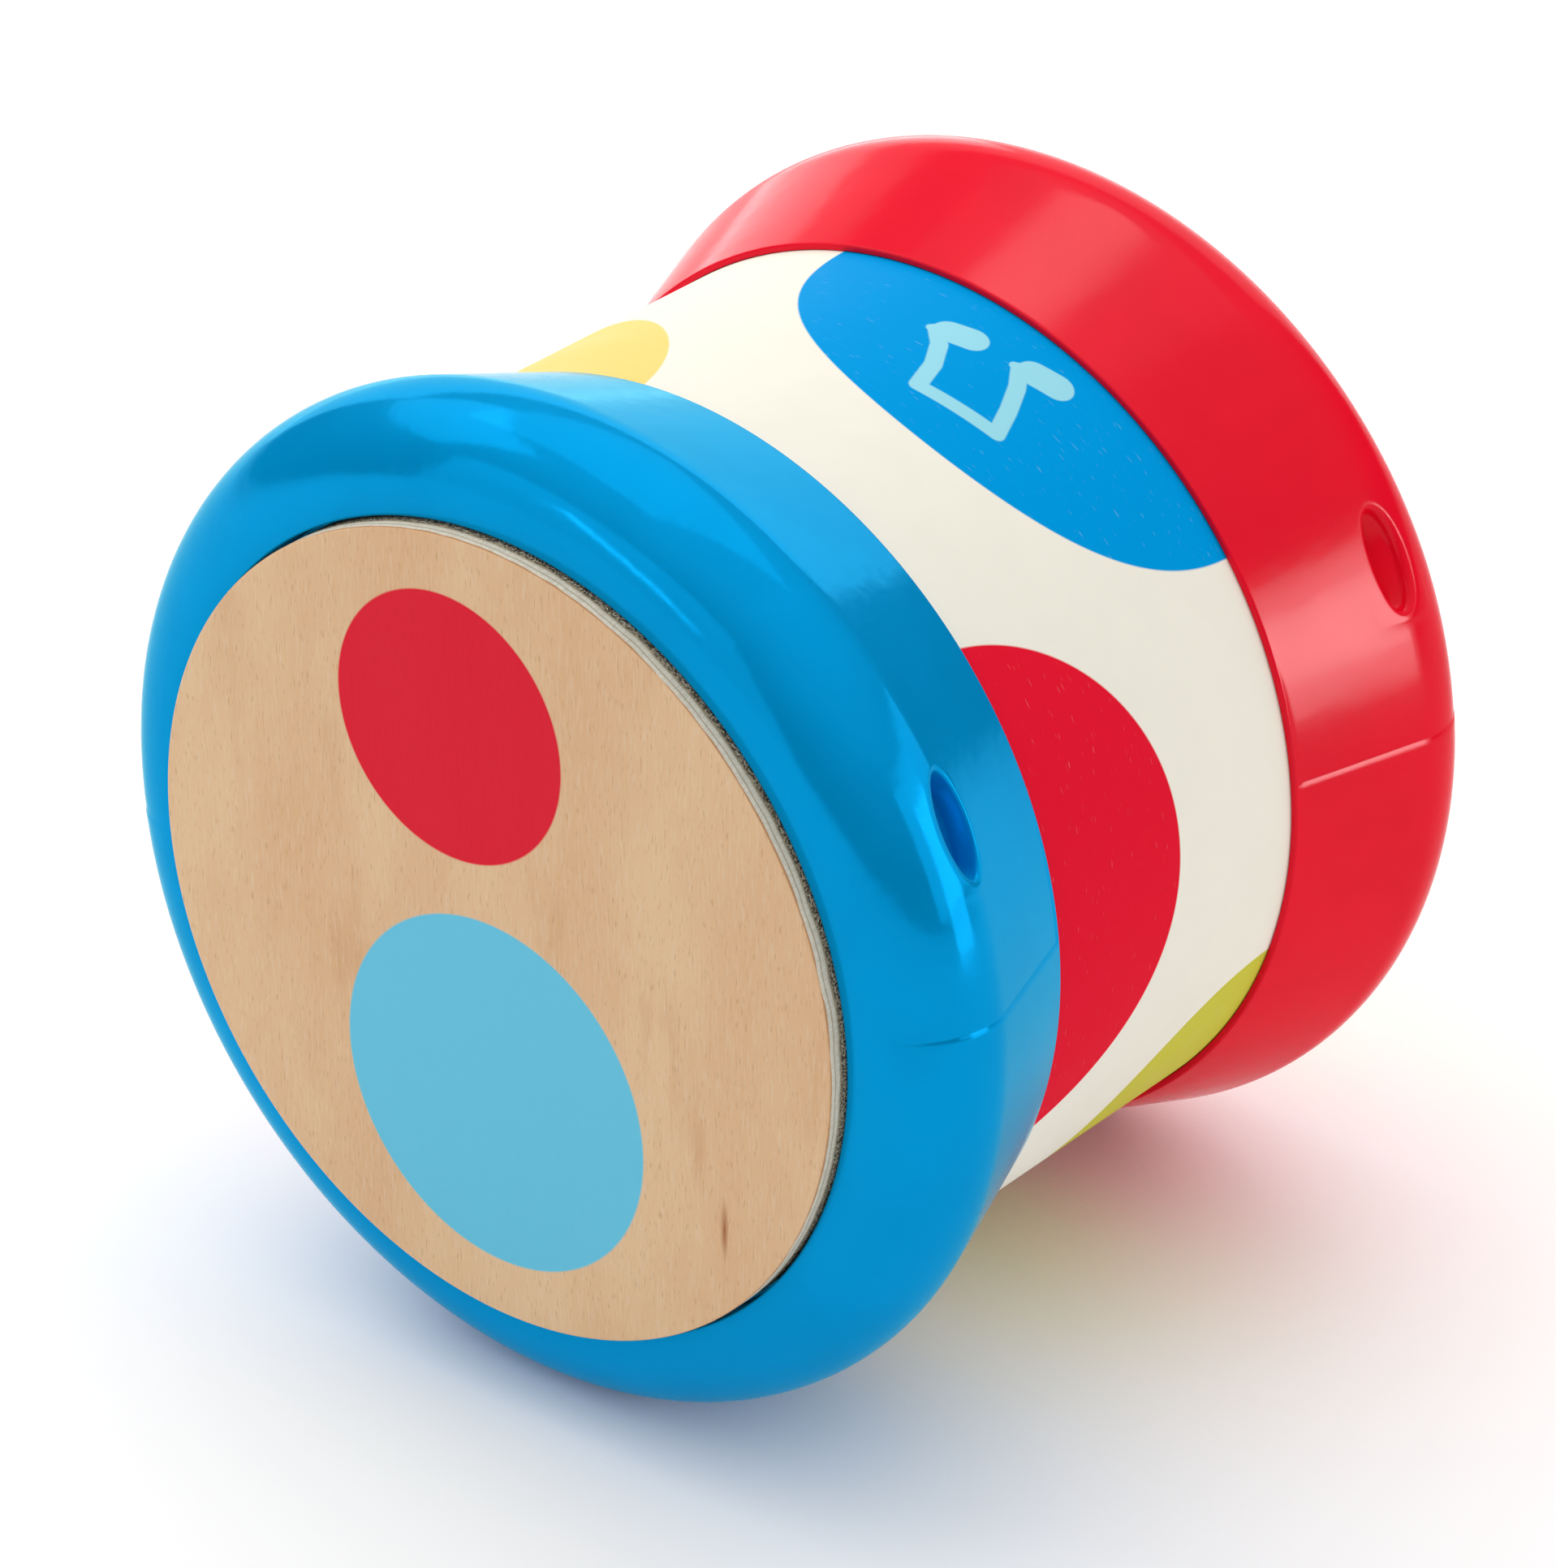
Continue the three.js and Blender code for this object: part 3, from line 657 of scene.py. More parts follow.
def plywood_face(name, dots, printed, colours):
    """Sanded plywood face: pale veneer with grain along Z, fine flecks, short pores and printed dots."""
    material, tree, shader, place = start_finish(name)
    growth = streaks(tree, place, (1, 1, 3), 16 * MM, 0.3, 0.7, detail=5)
    heart = streaks(tree, place, (1, 1, 4), 8 * MM, 0.56, 0.78, strength=0.42, detail=4)
    flecks = streaks(tree, place, (1, 1, 9), 0.35 * MM, 0.45, 0.75, strength=0.3)
    pores = streaks(tree, place, (1, 1, 6), 0.28 * MM, 0.58, 0.8, strength=0.5, detail=1)
    parts, height, across = drum_places(tree, place)
    half_knot = (printed.knot_width / 2, printed.knot_length / 2)
    knot = disc_mask(tree, across, (printed.knot_side, printed.knot_height), half_knot, half_knot[0])
    layers = [
        (growth, colours.wood_light), (heart, colours.wood_heart), (flecks, colours.wood_fleck),
        (pores, colours.wood_pore), (knot, colours.wood_knot)]
    depth = add_node(tree, MATH, {0: parts["Y"]}, operation="ABSOLUTE")
    outside = add_node(tree, MATH, {0: depth, 1: HALF_LENGTH - MM}, operation="GREATER_THAN")
    for side, up, radius, dot_colour in dots:
        disc = disc_mask(tree, across, (side, up), (radius, radius), printed.edge)
        ink = add_node(tree, MATH, {0: disc, 1: outside}, operation="MULTIPLY")
        layers.append((ink, dot_colour))
    wood = lay_colours(tree, colours.wood_dark, layers)
    uneven_surface(tree, shader, growth, (0.5, 0.6), flecks, 0.04 * MM)
    plug(tree, shader, {"Base Color": wood, "Specular IOR Level": 0.1})
    return material


def plywood_edge(colours):
    """Sawn plywood edge: a tan face veneer, pale and grey layers in turn and painted shade of the rim's gap
    as a dark pitted band.
    """
    material, tree, shader, place = start_finish("sawn_plywood_edge")
    layer_starts = (0.35, 0.95, 1.15, 1.85, 2.5, 3.4, 4.0)
    layer_fade = 0.15
    gap_shade_start = 2.05
    gap_shade_fade = 0.25
    parts = add_node(tree, SPLIT_XYZ, {0: place}).outputs
    depth = add_node(tree, MATH, {0: parts["Y"]}, operation="ABSOLUTE")
    inset = add_node(tree, MATH, {0: HALF_LENGTH, 1: depth}, operation="SUBTRACT")
    wander = streaks(tree, place, EVEN, 5 * MM, 0.2, 0.8, strength=0.3 * MM)
    wavy = add_node(tree, MATH, {0: inset, 1: wander}, operation="ADD")
    torn = streaks(tree, place, (1, 3, 1), 0.3 * MM, 0.35, 0.7, detail=3)
    layers = []
    for layer, start in enumerate(layer_starts):
        reached = add_node(
            tree, MAP_RANGE, {"Value": wavy, "From Min": start * MM, "From Max": (start + layer_fade) * MM})
        layers.append((reached, colours.ply_grey if layer % 2 else colours.ply_pale))
    saw_marks = add_node(tree, MATH, {0: torn, 1: 0.2}, operation="MULTIPLY")
    # Painted shade: deeper than this the edge turns dark and pitted, where it runs into the gap next to the
    # rim.
    gap_shade = add_node(
        tree, MAP_RANGE,
        {"Value": wavy, "From Min": gap_shade_start * MM, "From Max": (gap_shade_start + gap_shade_fade) * MM})
    pits = streaks(tree, place, EVEN, 0.3 * MM, 0.42, 0.56, detail=3)
    pitted = add_node(tree, MATH, {0: gap_shade, 1: pits}, operation="MULTIPLY")
    layers += [(saw_marks, colours.ply_torn), (pitted, colours.ply_gap_shade)]
    plug(tree, shader, {"Base Color": lay_colours(tree, colours.wood_heart, layers)})
    uneven_surface(tree, shader, torn, (0.65, 0.8), torn, 0.06 * MM)
    return material


def eva_foam():
    """Die-cut EVA foam: matt charcoal with fine closed cells."""
    material, tree, shader, place = start_finish("die_cut_eva_foam")
    walls = add_node(tree, "ShaderNodeTexVoronoi", {"Vector": place, "Scale": 1 / (0.5 * MM)})
    plug(tree, shader, {"Base Color": lay_colours(tree, linear("#2e2e30"), [(walls, linear("#4a4a4d"))])})
    uneven_surface(tree, shader, walls, (0.85, 0.95), walls, 0.06 * MM)
    return material


def metal(name, dull, bright, gloss, stretch):
    """Bare metal whose drawing or tumbling marks vary its tone and gloss."""
    material, tree, shader, place = start_finish(name)
    marks = streaks(tree, place, stretch, 0.4 * MM, 0.3, 0.7, detail=4)
    tone = lay_colours(tree, linear(dull), [(marks, linear(bright))])
    uneven_surface(tree, shader, marks, gloss, marks, 0.002 * MM)
    plug(tree, shader, {"Base Color": tone, "Metallic": 1.0})
    return material


def white_acetal():
    """Extruded acetal tube: white, waxy, with faint draw lines along the rod."""
    material, tree, shader, place = start_finish("extruded_white_acetal")
    lines = streaks(tree, place, (1, 20, 1), 0.3 * MM, 0.3, 0.7)
    tone = lay_colours(tree, linear("#dedbd2"), [(lines, linear("#efede7"))])
    uneven_surface(tree, shader, lines, (0.35, 0.45), lines, 0.004 * MM)
    plug(tree, shader, {"Base Color": tone, "IOR": 1.48})
    return material


def turned_beech():
    """Turned and tumbled beech: warm pale wood with short darker flecks."""
    material, tree, shader, place = start_finish("tumbled_beech")
    growth = streaks(tree, place, (1, 8, 1), 1.8 * MM, 0.3, 0.7, detail=3)
    flecks = streaks(tree, place, (1, 6, 1), 0.35 * MM, 0.6, 0.8, strength=0.6, detail=1)
    layers = [(growth, linear("#e0bf95")), (flecks, linear("#a87648"))]
    plug(tree, shader, {"Base Color": lay_colours(tree, linear("#cfa678"), layers)})
    uneven_surface(tree, shader, growth, (0.45, 0.55), flecks, 0.02 * MM)
    return material


# Rims

class Section:
    """Curve of (radius, inset) points that can be read at any length along it."""

    def __init__(self, points):
        self.points = [Vector(point) for point in points]
        self.lengths = [0.0]
        for last, following in zip(self.points, self.points[1:]):
            self.lengths.append(self.lengths[-1] + (following - last).length)

    def at(self, place):
        """Point at that length from the start."""
        i = min(max(bisect.bisect_right(self.lengths, place), 1), len(self.points) - 1)
        share = (place - self.lengths[i - 1]) / (self.lengths[i] - self.lengths[i - 1])
        return self.points[i - 1].lerp(self.points[i], share)

    def length_at(self, inset):
        """Length at which the curve reaches that inset."""
        return next(place for point, place in zip(self.points, self.lengths) if point.y >= inset)


def rim_section(sizes):
    """Outside of a rim from the land round the recess over the nose, crown and flank almost to the lip."""
    land_end = HEAD_RADIUS + sizes.recess_gap + sizes.nose_land
    nose_depth = sizes.crown_inset - NOSE_INSET
    nose_rise = CROWN_RADIUS - land_end
    lip_radius = SHELL_RADIUS + sizes.fit_gap + sizes.lip_thickness
    points = []
    for step in range(CURVE_STEPS + 1):
        turn = math.pi / 2 * (1 - step / CURVE_STEPS)
        radius = CROWN_RADIUS - nose_rise * (1 - math.cos(turn))
        points.append((radius, sizes.crown_inset - nose_depth * math.sin(turn)))
    across = sizes.lip_inset - sizes.crown_inset
    rise = lip_radius - (CROWN_RADIUS - sizes.shoulder_round)
    touch = math.atan2(across, rise) - math.acos(sizes.shoulder_round / math.hypot(across, rise))
    for step in range(1, CURVE_STEPS + 1):
        turn = touch * step / CURVE_STEPS
        radius = CROWN_RADIUS - sizes.shoulder_round * (1 - math.cos(turn))
        points.append((radius, sizes.crown_inset + sizes.shoulder_round * math.sin(turn)))
    lip = Vector((lip_radius, sizes.lip_inset))
    flank = (lip - Vector(points[-1])).normalized()
    points.append(lip - flank * 2 * sizes.lip_round)
    return Section(points), lip


def rim_inside(sizes, lip, outer):
    """Rest of a rim's section: lip, socket for the tube, plug, sleeve, head seat and recess wall."""
    socket = SHELL_RADIUS + sizes.lip_gap
    stop = sizes.lip_inset - sizes.socket_depth
    plug_radius = SHELL_RADIUS - sizes.shell_wall - sizes.fit_gap
    sleeve = plug_radius - sizes.rim_wall
    seat = CUSHION_BACK_INSET + sizes.fit_gap
    seat_back = seat + sizes.seat_thickness
    recess = HEAD_RADIUS + sizes.recess_gap
    soft = sizes.lip_round
    tight = soft / 3
    corners = [
        (lip.x, lip.y, soft),
        (socket, lip.y, tight),
        (socket, stop, soft),
        (plug_radius, stop, soft),
        (plug_radius, PLUG_END_INSET, soft),
        (sleeve, PLUG_END_INSET, soft),
        (sleeve, seat_back, soft),
        (sizes.seat_opening, seat_back, soft),
        (sizes.seat_opening, seat, soft),
        (recess, seat, tight),
        (recess, NOSE_INSET, soft),
    ]
    return rounded(corners, before=outer[-1], after=outer[0])


def cut_slot(bm, grid, window, section, slot_turn, side, sizes):
    """Fills a window of the rim's grid with smooth surface, a rounded oval edge, walls and a floor."""
    first_row, last_row, first_column, last_column = window["cells"]
    border = [(first_row, column) for column in range(first_column, last_column)]
    border += [(row, last_column) for row in range(first_row, last_row)]
    border += [(last_row, column) for column in range(last_column, first_column, -1)]
    border += [(row, first_column) for row in range(last_row, first_row, -1)]
    ring = [grid[row][column] for row, column in border]
    centre = section.length_at(sizes.crown_inset + sizes.slot_setback)
    reach = section.at(centre).x
    outward = Vector((math.cos(slot_turn), 0, math.sin(slot_turn)))
    starts = [((window["turns"][c] - slot_turn) * reach, window["places"][r] - centre) for r, c in border]
    half_around = max(abs(around) for around, along in starts)
    half_along = max(abs(along) for around, along in starts)
    bearings = [math.atan2(along / half_along, around / half_around) for around, along in starts]

    def surface(around, along, depth):
        radius, inset = section.at(centre + along)
        return spot(side, radius, inset, slot_turn + around / reach) - outward * depth

    def station(start, bearing, spread, turn, sink):
        """Point on the way in: over the surface, round the edge and down the leaning wall."""
        crown_share = (1 - math.sin(bearing)) / 2
        soft = sizes.slot_edge + (sizes.slot_round - sizes.slot_edge) * crown_share
        grow = soft * (1 - math.sin(turn)) - sizes.slot_draft * sink
        around = (sizes.slot_length / 2 + grow) * math.cos(bearing)
        along = (sizes.slot_width / 2 + grow) * math.sin(bearing) + sizes.slot_lean * sink
        depth = soft * (1 - math.cos(turn)) + (sizes.slot_depth - soft) * sink
        return surface(
            start[0] + (around - start[0]) * spread, start[1] + (along - start[1]) * spread, depth)

    shares = [step / SLOT_STEPS for step in range(1, SLOT_STEPS + 1)]
    stations = [(share, 0.0, 0.0) for share in shares]
    stations += [(1.0, math.pi / 2 * share, 0.0) for share in shares]
    stations += [(1.0, math.pi / 2, share) for share in shares]
    for spread, turn, sink in stations:
        following = [
            bm.verts.new(station(start, bearing, spread, turn, sink))
            for start, bearing in zip(starts, bearings)]
        for i in range(len(ring)):
            bm.faces.new((ring[i - 1], ring[i], following[i], following[i - 1]))
        ring = following
    floor = bm.verts.new(surface(0.0, sizes.slot_lean, sizes.slot_depth + sizes.slot_edge))
    for i in range(len(ring)):
        bm.faces.new((ring[i - 1], ring[i], floor))


def rim_mesh(name, side, sizes):
    """One rim: a turned section on a fine grid with mould seams and sound slots."""
    section, lip = rim_section(sizes)
    rows = round(section.lengths[-1] / sizes.rim_grid)
    places = [section.lengths[-1] * row / rows for row in range(rows + 1)]
    outer = [section.at(place) for place in places]
    profile = outer + rim_inside(sizes, lip, outer)
    seams = (sizes.seam_angle, sizes.seam_angle + math.pi)
    turns = [2 * math.pi * column / RIM_SIDES for column in range(RIM_SIDES)]
    seam_turn = sizes.seam_width / CROWN_RADIUS
    turns += [seams[0], seams[0] + seam_turn, seams[1], seams[1] - seam_turn]
    turns.sort()

    def seam_sink(turn):
        """Depth of the upper mould half under the lower one, which fades out away from the seams."""
        above = min(turn - seams[0], seams[1] - turn)
        if above < seam_turn / 2:
            return 0.0
        return sizes.seam_step * max(0.0, 1 - above * CROWN_RADIUS / sizes.seam_reach)

    centre = section.length_at(sizes.crown_inset + sizes.slot_setback)
    half_along = sizes.slot_width / 2 + sizes.slot_border
    half_around = (sizes.slot_length / 2 + sizes.slot_border) / CROWN_RADIUS
    slot_rows = [row for row, place in enumerate(places) if abs(place - centre) <= half_along]
    slots = []
    for slot_turn in (sizes.slot_angle, sizes.slot_angle + math.pi):
        columns = [column for column, turn in enumerate(turns) if abs(turn - slot_turn) <= half_around]
        cells = (slot_rows[0], slot_rows[-1], columns[0], columns[-1])
        slots.append((slot_turn, {"cells": cells, "turns": turns, "places": places}))

    def inside(row, column, margin):
        """Whether a point, or with a margin of 1 a face, lies in a slot's window."""
        for slot_turn, window in slots:
            first_row, last_row, first_column, last_column = window["cells"]
            in_rows = first_row < row + margin and row < last_row
            if in_rows and first_column < column + margin and column < last_column:
                return True
        return False

    bm = bmesh.new()
    grid = []
    for row, (radius, inset) in enumerate(profile):
        ring = []
        for column, turn in enumerate(turns):
            sink = seam_sink(turn) if row <= rows else 0.0
            point = spot(side, radius - sink, inset, turn)
            ring.append(None if inside(row, column, 0) else bm.verts.new(point))
        grid.append(ring)
    for row, ring in enumerate(grid):
        next_ring = grid[(row + 1) % len(grid)]
        for column in range(len(turns)):
            if not inside(row, column, 1):
                following = (column + 1) % len(turns)
                bm.faces.new((ring[column], next_ring[column], next_ring[following], ring[following]))
    for slot_turn, window in slots:
        cut_slot(bm, grid, window, section, slot_turn, side, sizes)
    mesh = bpy.data.meshes.new(name)
    bm.to_mesh(mesh)
    bm.free()
    finish_mesh(mesh)
    return mesh


# Operators

class DRUM_OT_rims(bpy.types.Operator):
    """Moulded rims with their recess, crown, flank, mould seams, sound slots and rod bosses"""

    bl_idname = "drum.rims"
    bl_label = "Rims"

    def execute(self, context):
        sizes = context.scene.drum_sizes
        colours = context.scene.drum_colours
        blue = moulded_abs(
            "polish_moulded_blue_abs", colours.blue_plastic, gloss=0.006, haze=0.12, pearl=0.3,
            sheen=colours.blue_sheen)
        red = moulded_abs("polish_moulded_red_abs", colours.red_plastic, gloss=0.06, haze=0.18)
        finishes = {"front": (blue, "blue_abs"), "back": (red, "red_abs")}
        bore = ROD_RADIUS + sizes.fit_gap
        reach = sizes.boss_radius
        soft = sizes.lip_round
        seat_back = CUSHION_BACK_INSET + sizes.fit_gap + sizes.seat_thickness
        for end, side in ENDS.items():
            finish, slot = finishes[end]
            name = f"{end}_rim_moulding"
            piece = new_object(name, rim_mesh(name, side, sizes))
            piece.data.materials.append(finish)
            root = side * (HALF_LENGTH - seat_back + sizes.fit_gap)
            top = side * (HALF_LENGTH - seat_back - sizes.boss_height)
            outline = rounded([(bore, root, 0), (reach, root, 0), (reach, top, soft), (bore, top, soft)])
            join(piece, turned_piece(f"{end}_boss", outline, finish, SMALL_SIDES, ROD_HEIGHT))
            settle(piece, "drum", slot, f"{end}_rim")
        return {"FINISHED"}


class DRUM_OT_shell(bpy.types.Operator):
    """Bent plywood tube with its printed paint"""

    bl_idname = "drum.shell"
    bl_label = "Tube"

    def execute(self, context):
        sizes = context.scene.drum_sizes
        outline = node_ring("drum_shell", SHELL_RADIUS - sizes.shell_wall, sizes.lip_round)
        finish = painted_tube(context.scene.drum_print, context.scene.drum_colours)
        piece = turned_piece("painted_tube", outline, finish, RIM_SIDES)
        settle(piece, "drum", "painted_plywood", "drum_shell")
        return {"FINISHED"}


class DRUM_OT_heads(bpy.types.Operator):
    """Plywood heads with a printed face and a layered edge"""

    bl_idname = "drum.heads"
    bl_label = "Heads"

    def execute(self, context):
        printed = context.scene.drum_print
        colours = context.scene.drum_colours
        upper = (printed.upper_dot_side, printed.upper_dot_height, printed.upper_dot_radius)
        lower = (printed.lower_dot_side, printed.lower_dot_height, printed.lower_dot_radius)
        dots = {
            "front": ((*upper, colours.head_red), (*lower, colours.head_sky)),
            "back": ((*upper, colours.dot_yellow), (*lower, colours.dot_green)),
        }
        face_tilt = 0.7
        edge = plywood_edge(colours)
        for end, side in ENDS.items():
            back = side * (HALF_LENGTH - HEAD_BACK_INSET)
            outline = bar_outline(HEAD_RADIUS, side * HALF_LENGTH, back, context.scene.drum_sizes.head_break)
            finish = plywood_face(f"sanded_plywood_{end}_face", dots[end], printed, colours)
            piece = turned_piece(f"{end}_head_disc", outline, finish, closed=False)
            piece.data.materials.append(edge)
            for face in piece.data.polygons:
                face.material_index = 1 if abs(face.normal.y) < face_tilt else 0
            settle(piece, "drum", "plywood", f"{end}_head")
        return {"FINISHED"}


class DRUM_OT_cushions(bpy.types.Operator):
    """Foam rings behind the heads"""

    bl_idname = "drum.cushions"
    bl_label = "Cushions"

    def execute(self, context):
        sizes = context.scene.drum_sizes
        foam = eva_foam()
        for end in ENDS:
            node = f"{end}_head_cushion"
            outline = node_ring(node, half_width(node) - sizes.cushion_width, sizes.lip_round)
            piece = turned_piece(f"{end}_foam_ring", outline, foam)
            settle(piece, "drum", "foam", node)
        return {"FINISHED"}


class DRUM_OT_screws(bpy.types.Operator):
    """Pan-head screws that hold the heads from inside"""

    bl_idname = "drum.screws"
    bl_label = "Screws"

    count: bpy.props.IntProperty(name="Count", description="Screws in each head", default=4, min=1)
    first: angle("First angle", "First screw, from +X upwards", 45)

    def execute(self, context):
        sizes = context.scene.drum_sizes
        zinc = metal("zinc_plated_steel_screw", "#9fa3a8", "#c9ccd0", (0.25, 0.4), EVEN)
        tree = screw_tree()
        root_share = 0.75
        root = sizes.screw_radius * root_share
        soft = sizes.screw_round
        seat_back = CUSHION_BACK_INSET + 2 * sizes.fit_gap + sizes.seat_thickness
        for end, side in ENDS.items():
            nodes = [f"{end}_head_screw_{i + 1}" for i in range(self.count)]
            low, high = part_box(nodes[0])
            tip, crown = (low.y, high.y) if side < 0 else (high.y, low.y)
            head_radius = half_width(nodes[0])
            under_head = side * (HALF_LENGTH - seat_back)
            half_up = (under_head + crown) / 2
            outline = [Vector((0, tip))]
            for thread in range(int((abs(under_head - tip) - sizes.screw_point) / sizes.screw_thread)):
                start = tip - side * (sizes.screw_point + thread * sizes.screw_thread)
                outline.append(Vector((root, start)))
                outline.append(Vector((sizes.screw_radius, start - side * sizes.screw_thread / 2)))
            corners = [
                (root, under_head, 0), (head_radius, under_head, soft / 3), (head_radius, half_up, soft),
                (head_radius / 2, crown, soft), (0, crown, 0)]
            outline += rounded(corners, before=outline[-1], after=outline[0])
            piece = turned_piece(f"{end}_head_screws", outline, zinc, SMALL_SIDES, 0, closed=False)
            run_tree(piece, tree, {
                "Count": self.count, "Circle": sizes.screw_circle, "First": self.first,
                "Height": AXIS_HEIGHT, "Finish": zinc})
            settle(piece, "drum", "zinc_steel", *nodes)
        return {"FINISHED"}


class DRUM_OT_bells(bpy.types.Operator):
    """Rod across the drum with its spacers, slotted bells and loose pellets"""

    bl_idname = "drum.bells"
    bl_label = "Bells"

    def bell(self, node, sizes, bore, brass):
        """Hollow slotted ball with a neck and an eye round the rod."""
        lane = middle(node).y
        radius = sizes.bell_radius
        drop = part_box(node)[0].z + radius
        centre = (0, lane, drop)
        globe = {"u_segments": SMALL_SIDES, "v_segments": SMALL_SIDES // 2}
        piece = solid(f"{node}_casting", centre, bmesh.ops.create_uvsphere, **globe, radius=radius)
        hollow = solid("hollow", centre, bmesh.ops.create_uvsphere, **globe, radius=radius - sizes.bell_wall)
        slit_depth = radius + MM - sizes.bell_slot_top
        slit_length = 3 * radius
        slit = solid(
            "slit", (0, lane, drop - sizes.bell_slot_top - slit_depth / 2), bmesh.ops.create_cube, size=1,
            matrix=Matrix.Diagonal((sizes.bell_slot, slit_length, slit_depth, 1)))
        neck_top = ROD_HEIGHT - bore - sizes.spacer_wall / 2
        neck_foot = drop + radius - sizes.bell_wall / 2
        neck = solid(
            "neck", (0, lane, (neck_top + neck_foot) / 2), bmesh.ops.create_cone, cap_ends=True,
            segments=SMALL_SIDES, radius1=sizes.bell_neck, radius2=sizes.bell_neck,
            depth=neck_top - neck_foot)
        half_eye = sizes.eye_length / 2
        outline = ring_outline(
            bore, bore + sizes.spacer_wall, lane - half_eye, lane + half_eye, sizes.eye_round)
        eye = turned_piece("eye", outline, brass, SMALL_SIDES, ROD_HEIGHT)
        tools = {neck: "UNION", eye: "UNION", hollow: "DIFFERENCE", slit: "DIFFERENCE"}
        for tool, operation in tools.items():
            modifier = piece.modifiers.new(tool.name, "BOOLEAN")
            modifier.object = tool
            modifier.operation = operation
            modifier.solver = "EXACT"
        plain_mesh(piece)
        for tool in tools:
            bpy.data.objects.remove(tool)
        piece.data.materials.clear()
        piece.data.materials.append(brass)
        return piece

    def execute(self, context):
        sizes = context.scene.drum_sizes
        steel = metal("drawn_steel_rod", "#8f9398", "#b9bcc0", (0.25, 0.38), (1, 30, 1))
        brass = metal("tumbled_brass", "#b98d35", "#d8b052", (0.22, 0.36), EVEN)
        pellet_steel = metal("tumbled_steel_pellet", "#8f9398", "#b4b7bb", (0.3, 0.45), EVEN)
        acetal = white_acetal()
        soft = sizes.lip_round
        bore = ROD_RADIUS + sizes.fit_gap
        low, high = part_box("bell_rod")
        outline = bar_outline(ROD_RADIUS, low.y, high.y, soft)
        piece = turned_piece("bell_rod_bar", outline, steel, SMALL_SIDES, ROD_HEIGHT, closed=False)
        settle(piece, "drum", "zinc_steel", "bell_rod")
        for lane in LANES:
            node = f"{lane}_bell_spacer"
            outline = node_ring(node, bore, soft)
            piece = turned_piece(f"{node}_tube", outline, acetal, SMALL_SIDES, ROD_HEIGHT)
            settle(piece, "drum", "white_plastic", node)
        for end in ENDS:
            node = f"{end}_bell"
            settle(self.bell(node, sizes, bore, brass), node, "brass", node)
            pellet = ball(f"{end}_bell_pellet", f"{end}_loose_pellet", pellet_steel)
            settle(pellet, f"{end}_pellet", "zinc_steel", f"{end}_bell_pellet")
        return {"FINISHED"}


class DRUM_OT_balls(bpy.types.Operator):
    """Beech balls that roll round inside the drum"""

    bl_idname = "drum.balls"
    bl_label = "Rattle balls"

    def execute(self, context):
        beech = turned_beech()
        for lane in LANES:
            piece = ball(f"{lane}_rattle_ball", f"{lane}_beech_ball", beech)
            settle(piece, f"{lane}_ball", "beech", f"{lane}_rattle_ball")
        return {"FINISHED"}


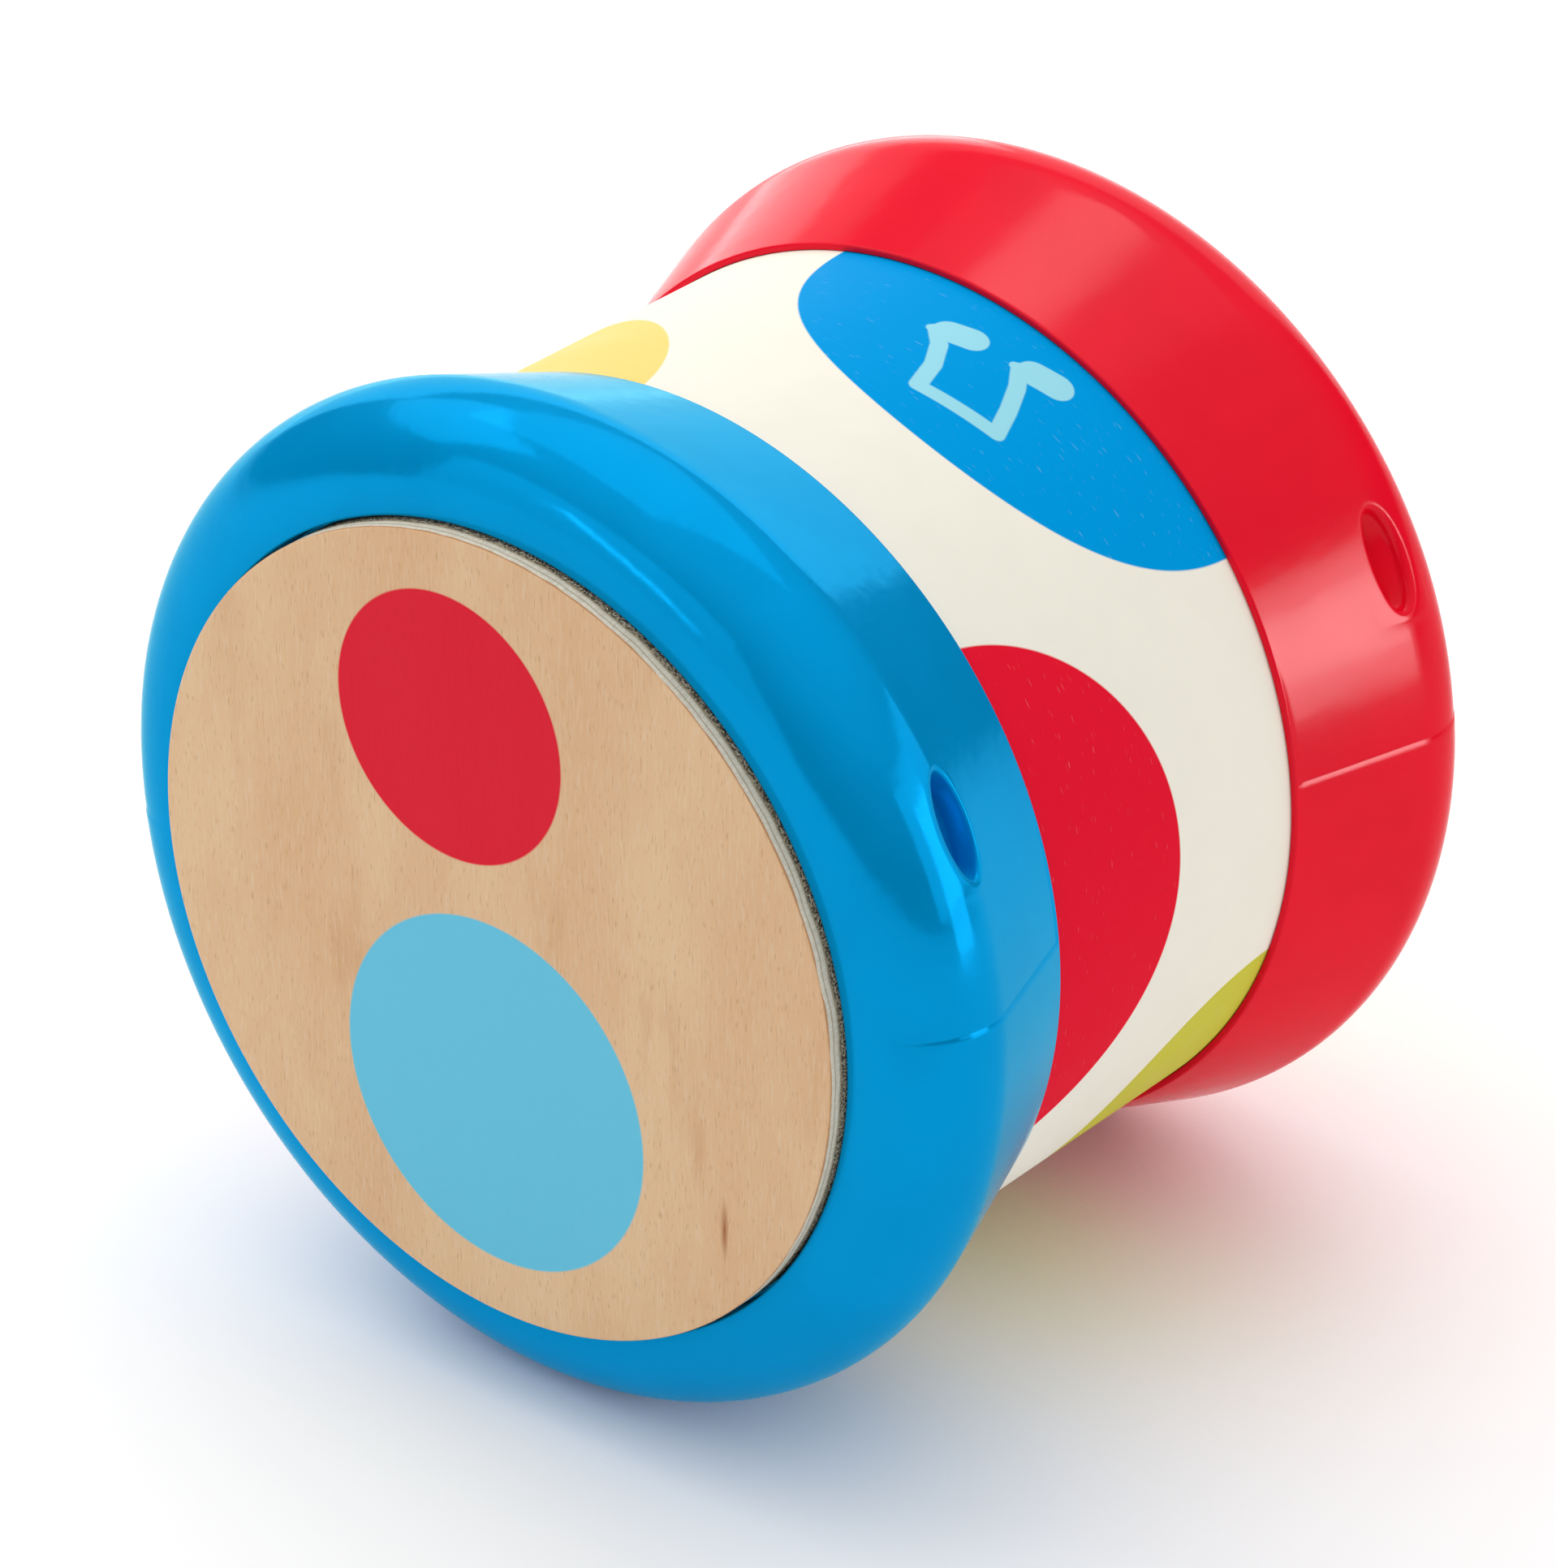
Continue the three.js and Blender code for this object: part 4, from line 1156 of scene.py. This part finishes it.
class DRUM_OT_stage(bpy.types.Operator):
    """Pale floor, soft studio light and the camera"""

    bl_idname = "drum.stage"
    bl_label = "Stage"

    def floor(self, stage):
        """Matt white floor that keeps the drum's shadow and is white for the camera elsewhere."""
        material, tree, shader, place = start_finish("matt_white_studio_floor")
        path = add_node(tree, "ShaderNodeLightPath").outputs
        seen = path["Is Camera Ray"]
        for kind in ("Is Glossy Ray", "Is Transmission Ray"):
            seen = add_node(tree, MATH, {0: seen, 1: path[kind]}, operation="MAXIMUM")
        glow = add_node(tree, MATH, {0: seen, 1: stage.floor_glow}, operation="MULTIPLY")
        plug(tree, shader, {
            "Base Color": stage.floor_colour, "Roughness": 0.9, "Specular IOR Level": 0.0,
            "Emission Color": WHITE, "Emission Strength": glow})
        half = stage.floor_size / 2
        corners = [(-half, -half, 0), (half, -half, 0), (half, half, 0), (-half, half, 0)]
        mesh = bpy.data.meshes.new("studio_floor")
        mesh.from_pydata(corners, [], [(0, 1, 2, 3)])
        mesh.materials.append(material)
        new_object("studio_floor", mesh)

    def sky(self, stage):
        """Even light that grows from the horizon to overhead and is white for the camera."""
        world = bpy.data.worlds.new("even_studio_light")
        world.use_nodes = True
        tree = world.node_tree
        upward = add_node(tree, "ShaderNodeTexCoord").outputs["Generated"]
        rise = add_node(tree, SPLIT_XYZ, {0: upward}).outputs["Z"]
        light = add_node(
            tree, MAP_RANGE, {"Value": rise, "To Min": stage.horizon_light, "To Max": stage.zenith_light},
            interpolation_type="SMOOTHSTEP")
        seen = add_node(tree, "ShaderNodeLightPath").outputs["Is Camera Ray"]
        white = add_node(tree, MATH, {0: light, 1: seen}, operation="MAXIMUM")
        plug(tree, tree.nodes["Background"], {"Color": WHITE, "Strength": white})
        return world

    def softbox(self, name, target, place, width, height, power, roll=0.0, gloss_of=None):
        """Rectangular soft light at a place, facing the target, for all pieces or the gloss of one."""
        lamp = bpy.data.lights.new(name, "AREA")
        lamp.shape = "RECTANGLE"
        lamp.size = width
        lamp.size_y = height
        lamp.energy = power
        light = new_object(name, lamp)
        light.location = place
        facing = (Vector(target) - Vector(place)).to_track_quat("-Z", "Y")
        light.rotation_euler = (facing @ Quaternion((0, 0, 1), roll)).to_euler()
        if gloss_of:
            light.visible_diffuse = False
            receivers = bpy.data.collections.new(name)
            receivers.objects.link(bpy.data.objects[gloss_of])
            light.light_linking.receiver_collection = receivers

    def camera(self, stage):
        """Camera at the photograph's angle."""
        level = math.cos(stage.camera_elevation)
        look = -Vector((
            math.sin(stage.camera_azimuth) * level, -math.cos(stage.camera_azimuth) * level,
            math.sin(stage.camera_elevation)))
        lens = bpy.data.cameras.new("studio_camera")
        lens.lens = stage.camera_lens
        lens.sensor_width = stage.camera_sensor
        camera = new_object("studio_camera", lens)
        camera.location = stage.camera_eye
        camera.rotation_euler = look.to_track_quat("-Z", "Y").to_euler()
        return camera

    def execute(self, context):
        stage = context.scene.drum_stage
        self.floor(stage)
        context.scene.world = self.sky(stage)
        for name, settings in SOFTBOXES.items():
            self.softbox(name, (0, 0, AXIS_HEIGHT), **settings)
        context.scene.camera = self.camera(stage)
        context.scene.view_settings.view_transform = "Standard"
        return {"FINISHED"}


class DRUM_PT_pieces(bpy.types.Panel):
    """Lists the drum's pieces and settings in the sidebar"""

    bl_label = "Toy drum"
    bl_space_type = "VIEW_3D"
    bl_region_type = "UI"
    bl_category = "Toy drum"

    def draw(self, context):
        for operator in OPERATORS:
            self.layout.operator(operator.bl_idname)
        for group in GROUPS:
            settings = getattr(context.scene, group)
            for name in settings.__annotations__:
                self.layout.prop(settings, name)


OPERATORS = (
    DRUM_OT_rims, DRUM_OT_shell, DRUM_OT_heads, DRUM_OT_cushions, DRUM_OT_screws, DRUM_OT_bells,
    DRUM_OT_balls, DRUM_OT_stage)
GROUPS = {
    "drum_sizes": DrumSizes, "drum_print": DrumPrint, "drum_colours": DrumColours, "drum_stage": DrumStage}


def register():
    for group in GROUPS.values():
        bpy.utils.register_class(group)
    for name, group in GROUPS.items():
        setattr(bpy.types.Scene, name, bpy.props.PointerProperty(type=group))
    for operator in OPERATORS:
        bpy.utils.register_class(operator)
    bpy.utils.register_class(DRUM_PT_pieces)


def unregister():
    bpy.utils.unregister_class(DRUM_PT_pieces)
    for operator in reversed(OPERATORS):
        bpy.utils.unregister_class(operator)
    for name, group in GROUPS.items():
        delattr(bpy.types.Scene, name)
        bpy.utils.unregister_class(group)


def main():
    register()
    bpy.ops.drum.rims()
    bpy.ops.drum.shell()
    bpy.ops.drum.heads()
    bpy.ops.drum.cushions()
    bpy.ops.drum.screws()
    bpy.ops.drum.bells()
    bpy.ops.drum.balls()
    bpy.ops.drum.stage()


if __name__ == "__main__":
    main()
